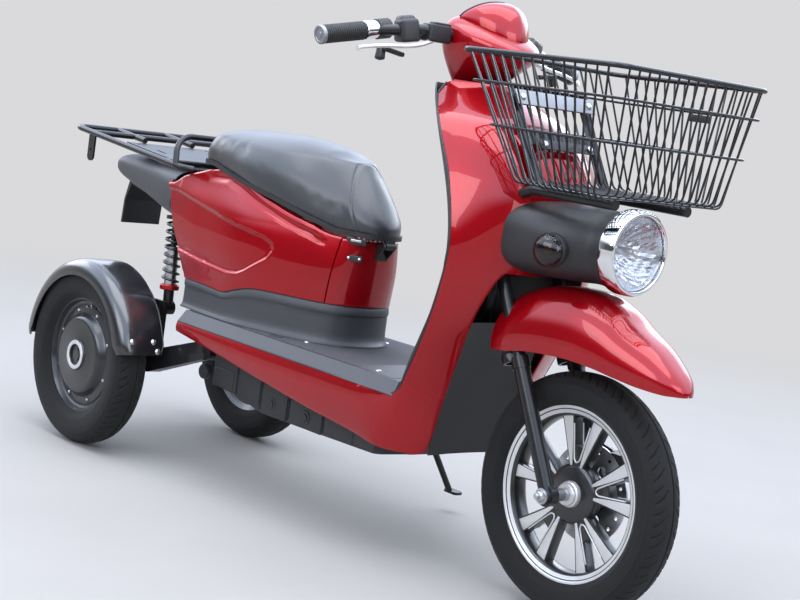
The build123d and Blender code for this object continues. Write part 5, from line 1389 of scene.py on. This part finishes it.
# %% Handlebar cowl
# columns: height, rear x, nose x, half width, how much the ring tilts up to the front
COWL = ((932, 226, 282, 35, 0), (950, 224, 300, 42, 0), (972, 218, 336, 58, 0), (994, 212, 366, 72, 0),
        (1012, 208, 386, 82, -0.03), (1028, 206, 394, 87, -0.08), (1042, 208, 392, 88, -0.14),
        (1053, 212, 386, 86, -0.19), (1062, 219, 376, 79, -0.23), (1071, 231, 360, 66, -0.27),
        (1077, 250, 336, 44, -0.30), (1080, 280, 290, 1, -0.30))
ROUND_NOSE, SQUARE_BACK = 2.1, 3.4
cowl_rows = []
for height, rear_x, nose_x, half, tilt in through(COWL, 5):
    row = []
    for k in range(73):
        angle = 2 * math.pi * (k % 72) / 72
        cos, sin = math.cos(angle), math.sin(angle)
        belly_x = rear_x + (nose_x - rear_x) * 0.40
        reach = nose_x - belly_x if cos > 0 else belly_x - rear_x
        power = 2 / (ROUND_NOSE if cos > 0 else SQUARE_BACK)
        x = belly_x + reach * math.copysign(abs(cos) ** power, cos)
        y = half * math.copysign(abs(sin) ** power, sin)
        row.append((x, y, height + tilt * (x - 284)))
    cowl_rows.append(row)
cowl = sheet_of("handlebar_cowl", cowl_rows, closed=True)
face_away(cowl, (290, 0, 1010))
thicken(cowl, 2.5, 0.5)
smooth(cowl, 45)
dress(cowl, "steering", red_paint, "red_paint", ("cowl",))

# %% Visor
FOOT_LINE = ((254, 64, 1077), (276, 65, 1071), (305, 61, 1064), (330, 53, 1056), (352, 38, 1048),
             (366, 18, 1041), (372, 0, 1038))
TOP_LINE = ((254, 64, 1081), (264, 58, 1093), (280, 46, 1106), (293, 31, 1114), (301, 15, 1117.6),
            (304, 0, 1118.6))
foot = even_points(FOOT_LINE, 26)
top_edge = even_points(TOP_LINE, 26)
visor_rows = []
for low, top in zip(foot, top_edge):
    control = (low[0] * 0.9 + top[0] * 0.1, low[1] * 1.01, top[2] - 3 + 4.5 * (1 - low[1] / 66))
    row = []
    for k in range(17):
        t = k / 16
        row.append([a * (1 - t) ** 2 + 2 * b * t * (1 - t) + c * t * t
                    for a, b, c in zip(low, control, top)])
    visor_rows.append([(x, -y, z) for x, y, z in row])
visor = sheet_of("visor", visor_rows)
face_away(visor, (290, 0, 1040))
mirrored(visor)
face_away(visor, (290, 0, 1040))
thicken(visor, 2.2, 0.6)
smooth(visor, 50)
dress(visor, "steering", red_paint, "red_paint")
edge_path = [(x, -y, z) for x, y, z in top_edge] + [(x, y, z) for x, y, z in top_edge[-2::-1]]
visor_edge = pipes("visor_edge", [edge_path], 1.9, 2)
dress(visor_edge, "steering", black_plastic, "black_plastic")

# %% Profiles of the grips
grip_profile = [(15.2, 12)]
for n in range(19):
    s = 15 + n * 4.9
    grip_profile += [(15.8, s), (17.9, s + 0.9), (18.1, s + 2.5), (17.9, s + 3.6)]
grip_profile += [(15.8, 108.4), (17.2, 108.6), (17.2, 110)]
END_CAP = ((13, 108), (17.5, 108.5), (18.6, 110.5), (18.6, 115), (17, 117), (13.5, 117), (12.5, 115.5),
           (6.5, 115.5), (5.5, 117.5), (0, 117.5))
BAND = ((15, -16), (17.4, -16), (17.8, -15), (17.8, 12), (17.4, 13), (15, 13))
collar_profile = [(14, -47)]
for n in range(5):
    s = -46 + n * 6
    collar_profile += [(18.8, s), (19.8, s + 1), (19.8, s + 4.4), (18.8, s + 5.4)]
collar_profile += [(14, -16)]
# columns: place, size, edge, turn in degrees, taper; for the left, and mirrored for the right
SWITCH_BOX = (((225, 170, 1038), (50, 42, 46), 8, (-12, 0, 18), 0.9),
              ((220, 172, 1056), (38, 36, 20), 7, (-12, 0, 18), 0.85),
              ((253, 118, 1040), (34, 52, 34), 3.5, (0, 0, 6), 0.97),
              ((255, 112, 1058), (26, 36, 7), 2.5, (0, 0, 6), 1.0),
              ((236, 238, 986), (18, 16, 26), 4, (10, -10, 0), 0.85),
              ((244, 214, 992), (14, 52, 9), 3, (8, 0, 0), 1.0))
LEVER = ((258, 132, 1024), (264, 168, 1012), (266, 205, 1005), (262, 250, 1000), (254, 285, 994),
         (249, 300, 990), (247, 306, 988))

# %% Grips, levers and switch gear
for label, side in (("right", -1), ("left", 1)):
    bar_in = Vector((192.4, side * 238, 1027))
    bar_out = Vector((186.4, side * 345, 1004))
    way = (bar_out - bar_in).normalized()
    turned_piece("grip_" + label, grip_profile, bar_in, way, 48, 50,
                 "steering", grip_rubber, "rubber", ("grips",) if side < 0 else ())
    turned_piece("grip_cap_" + label, END_CAP, bar_in, way, 48, 40, "steering", zinc, "steel")
    turned_piece("grip_band_" + label, BAND, bar_in, way, 48, 40,
                 "steering", chrome, "chrome", ("switch_gear",) if side < 0 else ())
    turned_piece("grip_collar_" + label, collar_profile, bar_in, way, 40, 40,
                 "steering", black_plastic, "black_plastic")
    parts = []
    for (x, y, z), size, edge, (about_x, about_y, about_z), taper in SWITCH_BOX:
        spin = (side * about_x, about_y, side * about_z)
        parts.append(rounded_block("switch_part", (x, side * y, z), size, edge, spin, taper))
    gear = joined("switch_box_" + label, parts)
    dress(gear, "steering", black_plastic, "black_plastic")
    lever_line = through([(x, side * y, z) for x, y, z in LEVER], 6)
    count = len(lever_line) - 1
    lever_sizes = []
    for n in range(count + 1):
        t = n / count
        ball = 4.2 * math.exp(-((t - 0.955) / 0.035) ** 2)
        lever_sizes.append((3.4 + 3.4 * (1 - t) + ball, 3.2 + 1.6 * (1 - t) + ball))
    lever_sizes[-1] = (2.5, 2.5)
    lever = limb("brake_lever_" + label, lever_line, lever_sizes)
    dress(lever, "steering", alloy, "alloy", ("levers",) if side < 0 else ())

# %% Shield edge
edge_line = [grid_row[1] for grid_row in shield_rows if grid_row[1][2] > 330][::3]
far_line = [(x, -y, z) for x, y, z in edge_line]
trim = joined("shield_edge_trim", [pipes("edge", [line], 2.4, 2) for line in (edge_line, far_line)])
dress(trim, "frame", black_plastic, "black_plastic")

# %% [markdown]
# ## Rear end
# The rear wheels carry hub motors behind flat bolted covers. Each mudguard is one section turned
# round the axle, with a deep lip on the outside. Both are round, so one profile is turned for each. A
# Spin in edit mode would do the same, but here a mudguard also grows its lip and draws in at its ends,
# so its points are set by angle. Springs are wire wound on a line, and the tail is a stack of ovals.

# %% Rear hubs
HUB_FACE = ((139.5, 28), (141.5, 27), (141.5, 23.5), (137, 22.5), (131, 21.5), (129, 17), (126, 11),
            (121, 8.5), (117.5, 9), (116, 11.5), (113, 12.5), (103, 12.5), (99, 13.5), (95.5, 17), (92, 24),
            (88, 28.5), (83, 30.5), (78, 31), (38, 31.5), (36.5, 32), (35.5, 35), (34, 36.5), (25.5, 36.5),
            (24, 35), (23, 30.5), (14, 30), (13, 33), (0, 33.5))
HUB_BACK = ((0, -30), (60, -30), (96, -27), (112, -18), (126, -18), (131, -22), (141, -24), (141.5, -27),
            (139.5, -28), (128, -22), (126, 0))
VALVE = ((0, 30), (2.6, 30), (3, 28), (3, 20), (4.2, 19.5), (4.2, 8), (0, 8))
HUB_CAP_RING = ((25, 36), (25.6, 37.6), (33.6, 37.6), (34.4, 36), (34.4, 33), (25, 33), (25, 36))
VALVE_ANGLE = math.radians(80)
for label, side in (("right", -1), ("left", 1)):
    centre = (REAR_AXLE_X, side * REAR_HALF_TRACK, REAR_TYRE_R)
    way = (0, side, 0)
    body = "rear_wheel_" + label
    turned_piece("hub_motor_" + label, HUB_BACK + HUB_FACE, centre, way, 120, 28,
                 body, rim_black, "rim_black", ("rear_hub_" + label,))
    heads = []
    for n in range(8):
        angle = math.radians(22.5 + 45 * n)
        place = Vector(centre) + Vector((107 * math.cos(angle), side * 12.5, 107 * math.sin(angle)))
        heads.append(bolt("bolt", place, way, 4.6, 4))
    place = Vector(centre) + Vector((120 * math.cos(VALVE_ANGLE), side * 2, 120 * math.sin(VALVE_ANGLE)))
    heads = joined("hub_bolts_" + label, heads + [turned("valve", VALVE, place, way, 16)])
    smooth(heads, 30)
    dress(heads, body, steel, "steel")
    turned_piece("hub_ring_" + label, HUB_CAP_RING, centre, way, 64, 40, body, alloy, "steel")

# %% Rear mudguards
# columns: offset from the wheel's middle, radius
GUARD_SECTION = ((-61, 224.5), (-60, 226.2), (-40, 226.8), (0, 226.8), (20, 226.2), (32, 223.6),
                 (41, 218), (47, 210), (50.2, 200), (51.4, 190), (51.6, 186.5))
GUARD_REAR, GUARD_SPAN, GUARD_STEPS = 177.5, 166, 84
GUARD_BOLTS = ((19, 22), (19, -34), (13.5, -44))
ROUND_HEAD = ((0, 3.6), (4, 3.2), (6.5, 1.4), (7, 0), (0, 0))
guard_smooth = through(GUARD_SECTION, 4)
guard_black = finish("gloss_black_moulding", (0.014, 0.014, 0.017), shade=0.8, mottle=12,
                     rough=(0.26, 0.36), grain=1200, grain_depth=0.02, coat=0.9, coat_rough=0.14)
for label, side in (("right", -1), ("left", 1)):
    rows = []
    for n in range(GUARD_STEPS + 1):
        angle = math.radians(GUARD_REAR - GUARD_SPAN * n / GUARD_STEPS)
        near_end = min(n, GUARD_STEPS - n) / GUARD_STEPS * GUARD_SPAN
        draw = 1 - 0.10 * (1 - ease(0, 7, near_end)) ** 2
        row = []
        for offset, r in guard_smooth:
            lip = ease(215, 186, r) * 9 * (1 - ease(0, 9, near_end))
            row.append((REAR_AXLE_X + (r + lip) * math.cos(angle), side * (REAR_HALF_TRACK + offset * draw),
                        REAR_TYRE_R + (r + lip) * math.sin(angle)))
        rows.append(row)
    guard = sheet_of("rear_mudguard_" + label, rows)
    face_away(guard, (REAR_AXLE_X, side * 190, REAR_TYRE_R))
    thicken(guard, 3.0, 0.8)
    smooth(guard, 40)
    dress(guard, "frame", guard_black, "black_plastic", ("rear_fenders",) if side < 0 else ())
    heads = []
    for degrees, offset in GUARD_BOLTS:
        angle = math.radians(degrees)
        out = Vector((math.cos(angle), 0, math.sin(angle)))
        place = Vector((REAR_AXLE_X, side * (REAR_HALF_TRACK + offset), REAR_TYRE_R)) + out * 226.4
        heads.append(turned("bolt", ROUND_HEAD, place, out, 20))
    heads = joined("rear_mudguard_bolts_" + label, heads)
    smooth(heads, 60)
    dress(heads, "frame", steel, "steel")
    stay_place = (REAR_AXLE_X + 9, side * 188.5, 336)
    dress(rounded_block("mudguard_stay_" + label, stay_place, (40, 3, 193), 1.2),
          "frame", satin_black, "black_metal")

# %% Shocks
shock_low, shock_top = Vector((-512, 0, 350)), Vector((-524, 0, 592))
shock_way = (shock_top - shock_low).normalized()
shock_side = shock_way.cross(Vector((0, 1, 0)))
SHOCK_HALF_TRACK = 140
COIL_TURNS, COIL_LENGTH, COIL_START, COIL_R, COIL_STEPS = 8.5, 150, 56, 18, 24
LOCK_NUT = ((12, 0), (21, 0), (22.5, 2), (22.5, 10), (21, 12), (19, 13), (12, 13))
SLEEVE = ((9, 12), (13.5, 12), (13.5, 60), (13.5, 100), (9, 100))
red_part = finish("anodised_red", (0.42, 0.01, 0.02), shade=0.85, mottle=30, rough=(0.3, 0.4), grain=900,
                  grain_depth=0.01, metal=0.5)
for label, side in (("right", -1), ("left", 1)):
    coil = []
    last = COIL_TURNS * COIL_STEPS
    for n in range(int(last) + 1):
        angle = 2 * math.pi * COIL_TURNS * (n / last)
        place = shock_low + shock_way * (COIL_START + COIL_LENGTH * (n / last))
        place += shock_side * COIL_R * math.cos(angle)
        place += Vector((0, 1, 0)) * COIL_R * math.sin(angle)
        coil.append(place + Vector((0, side * SHOCK_HALF_TRACK, 0)))
    spring = pipes("shock_spring_" + label, [coil], 3.1, 3)
    dress(spring, "frame", rim_black, "black_metal", ("shock_springs",) if side < 0 else ())
    nut_at = shock_low + shock_way * 42 + Vector((0, side * SHOCK_HALF_TRACK, 0))
    turned_piece("shock_collar_" + label, LOCK_NUT, nut_at, shock_way, 48, 30,
                 "frame", red_part, "red_paint")
    turned_piece("shock_sleeve_" + label, SLEEVE, nut_at, shock_way, 32, 30, "frame", steel, "steel")

# %% Tail cover
# columns: x, half width, lower and upper height, squareness
TAIL = ((-546, 145, 546, 674, 3.6), (-600, 139, 556, 676, 3.6), (-700, 121, 577, 679, 3.4),
        (-800, 104, 596, 679, 3.2), (-860, 94, 609, 677, 3.0), (-888, 85, 618, 673, 2.7),
        (-900, 70, 627, 666, 2.5), (-905, 45, 637, 656, 2.3), (-906, 4, 646, 648, 2.0))
tail_sections = [(x, half, (top_z - low_z) / 2, (low_z + top_z) / 2, square)
                 for x, half, low_z, top_z, square in through(TAIL, 6)]
tail = oval_shell("tail_moulding", tail_sections, 64, (-720, 0, 625))
dress(tail, "frame", grey_plastic, "black_plastic", ("tail_cover",))

# %% [markdown]
# ## Floor and underside
# The floor is a moulded mat with a fine anti-slip rib along it. A bump map would give the lines but not
# their shadows at a low angle, so the ribs are real: a fine grid whose points rise and fall. Under it
# the pan is moulded as blocks with slots between them, which are separate rounded blocks here.

# %% Ribbed floor
RIB, MAT_HALF, MAT_REAR, MAT_LENGTH, MAT_ROWS = 6.0, 170, -372, 700, 84
columns = int(2 * MAT_HALF / RIB) * 4
ribs = []
for n in range(MAT_ROWS + 1):
    x = MAT_REAR + MAT_LENGTH * n / MAT_ROWS
    row = []
    for k in range(columns + 1):
        y = -MAT_HALF + 2 * MAT_HALF * k / columns
        rise = 0.9 if k % 4 in (1, 2) else 0.0
        edge_fade = (ease(0, 8, min(abs(y + MAT_HALF), abs(y - MAT_HALF)))
                     * (1 - ease(200, 216, x) * (1 - ease(224, 232, x))))
        row.append((x, y, FLOOR_Z + 0.5 + rise * edge_fade * (1 - ease(222, 232, x))))
    ribs.append(row)
mat = sheet_of("floor_ribs", ribs)
face_away(mat, (0, 0, 300))
thicken(mat, 1.2, 0)
dress(mat, "frame", grey_plastic, "grey_plastic")

# %% Wells and bolts in the floor
UP = (0, 0, 1)
WELL_RING = ((0, 1.2), (12, 1.2), (13.5, 2.2), (15, 2.0), (15.5, 0.6), (0, 0.6))
FLOOR_HEAD = ((0, 3.4), (4, 3.2), (5.5, 2), (6, 0.8), (0, 0.8))
wells = joined("floor_wells", [turned("well", WELL_RING, (-81, side * 148, FLOOR_Z), UP, 40)
                               for side in (-1, 1)])
dress(wells, "frame", black_plastic, "black_plastic")
floor_bolts = joined("floor_bolts", [turned("bolt", FLOOR_HEAD, (x, side * y, FLOOR_Z), UP, 20)
                                     for side in (-1, 1) for x, y in ((-20, 112), (262, 150))])
smooth(floor_bolts, 50)
dress(floor_bolts, "frame", steel, "steel")

# %% Latch plates on the front panel
front_way = Vector((0.50, -0.86, 0)).normalized()
lock_place = Vector((34, -60.5, 560))
lock_along = Vector((math.cos(math.radians(33)), math.sin(math.radians(33)), 0))
SCREW = ((0, 2.6), (2.6, 2.2), (3.8, 0.6), (3.8, -1), (0, -1))
# columns: name, place, size, edge, turn in degrees, finish, slot
PLATES = (("seat_latch_slot", (32, -59, 596), (46, 5, 15), 2.3, 32, black_plastic, "black_plastic"),
          ("seat_latch_bar", (34, -61.2, 597.5), (24, 2.4, 5), 1.0, 32, steel, "steel"),
          ("lock_plate", lock_place, (34, 3, 13.5), 1.4, 33, black_plastic, "black_plastic"))
for name, place, size, edge, degrees, material, slot in PLATES:
    dress(rounded_block(name, place, size, edge, (0, 0, degrees)), "frame", material, slot)
screws = joined("lock_plate_screws",
                [turned("screw", SCREW, lock_place + lock_along * along + front_way * 1.2, front_way, 20)
                 for along in (-12, 12)])
smooth(screws, 50)
dress(screws, "frame", steel, "steel")

# %% Underside blocks
# columns: x from, x to, top height, bottom height, how far its face stands out from the middle
BLOCKS = ((-284, -196, 306, 219, 151.6), (-189, -106, 282, 212, 152.4), (-97, -8, 264, 199, 153),
          (2, 112, 252, 200, 152.2), (119, 214, 244, 203, 151.8), (-278, -204, 262, 223, 153.6))
# columns: x, middle height, height
SLOTS = ((-192.5, 248, 62), (-101.5, 236, 62), (-3, 228, 46), (115.5, 224, 36))
# columns: x, height, distance from the middle, how far it stands out
BOSSES = ((-322, 240, 146, 10), (-60, 226, 152, 4), (58, 224, 152, 4))
under = []
for x_from, x_to, top_z, low_z, face in BLOCKS:
    for side in (-1, 1):
        under.append(rounded_block("block", ((x_from + x_to) / 2, side * (face - 6), (top_z + low_z) / 2),
                                   (x_to - x_from, 12, top_z - low_z), 2.6))
for x, z, half, reach in BOSSES:
    profile = ((0, reach), (8, reach), (9, reach - 2), (15, reach - 2), (17, reach - 5), (17, -6), (0, -6))
    for side in (-1, 1):
        under.append(turned("boss", profile, (x, side * half, z), (0, side, 0), 32))
under = joined("underside_blocks", under)
smooth(under, 35)
dress(under, "frame", black_plastic, "black_plastic")
# each slot's floor between the blocks is a real surface, but its darker, matte tyre rubber finish is
# painted shade
slot_shade = joined("underside_slots", [rounded_block("slot", (x, side * 150, z), (5.4, 2.6, high), 0.8)
                                   for side in (-1, 1) for x, z, high in SLOTS])
dress(slot_shade, "frame", tyre_rubber, "black_plastic")

# %% [markdown]
# ## Fork details
# A fork leg slides in a lower tube, and a collar with a rubber seal closes the gap between them. The
# axle is held by a washer and a nut on a threaded stud. They are small, but the eye looks for them
# where a wheel is held, so each is turned from its own profile and then joined to its neighbours.

# %% Fork collars
FORK_COLLAR = ((14, 0), (19, 0), (20.5, 2), (20.5, 14), (19.5, 17), (17, 20), (14, 20))
FORK_SEAL = ((13, 18), (16.5, 18), (16.5, 26), (14.5, 28), (13, 28))
steering_way = Vector((-0.46947, 0, 0.88295))
collars = []
for side in (-1, 1):
    foot_point = Vector((552, side * 76, 447))
    collars.append(turned("fork_collar", FORK_COLLAR, foot_point, steering_way, 40))
    collars.append(turned("fork_seal", FORK_SEAL, foot_point, steering_way, 40))
collars = joined("fork_collars", collars)
smooth(collars, 35)
dress(collars, "steering", satin_black, "black_metal")

# %% Front axle nuts
WASHER = ((7, 0), (14.5, 0), (15, 1), (15, 3), (7, 3))
STUD = ((0, 18), (4.5, 18), (5.5, 17), (5.5, 10), (0, 10))
nuts = []
for side in (-1, 1):
    centre = (FRONT_AXLE_X, side * 92, FRONT_TYRE_R)
    nuts.append(turned("washer", WASHER, centre, (0, side, 0), 40))
    nuts.append(bolt("nut", Vector(centre) + Vector((0, side * 3, 0)), (0, side, 0), 11, 9))
    nuts.append(turned("stud", STUD, centre, (0, side, 0), 24))
nuts = joined("front_axle_nuts", nuts)
smooth(nuts, 35)
dress(nuts, "steering", steel, "steel")

# %% [markdown]
# ## Sizes
# The box round the dressed object is printed.

# %% Size of the dressed object
low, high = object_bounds()
print("scene box", [round(v, 3) for v in low], [round(v, 3) for v in high])
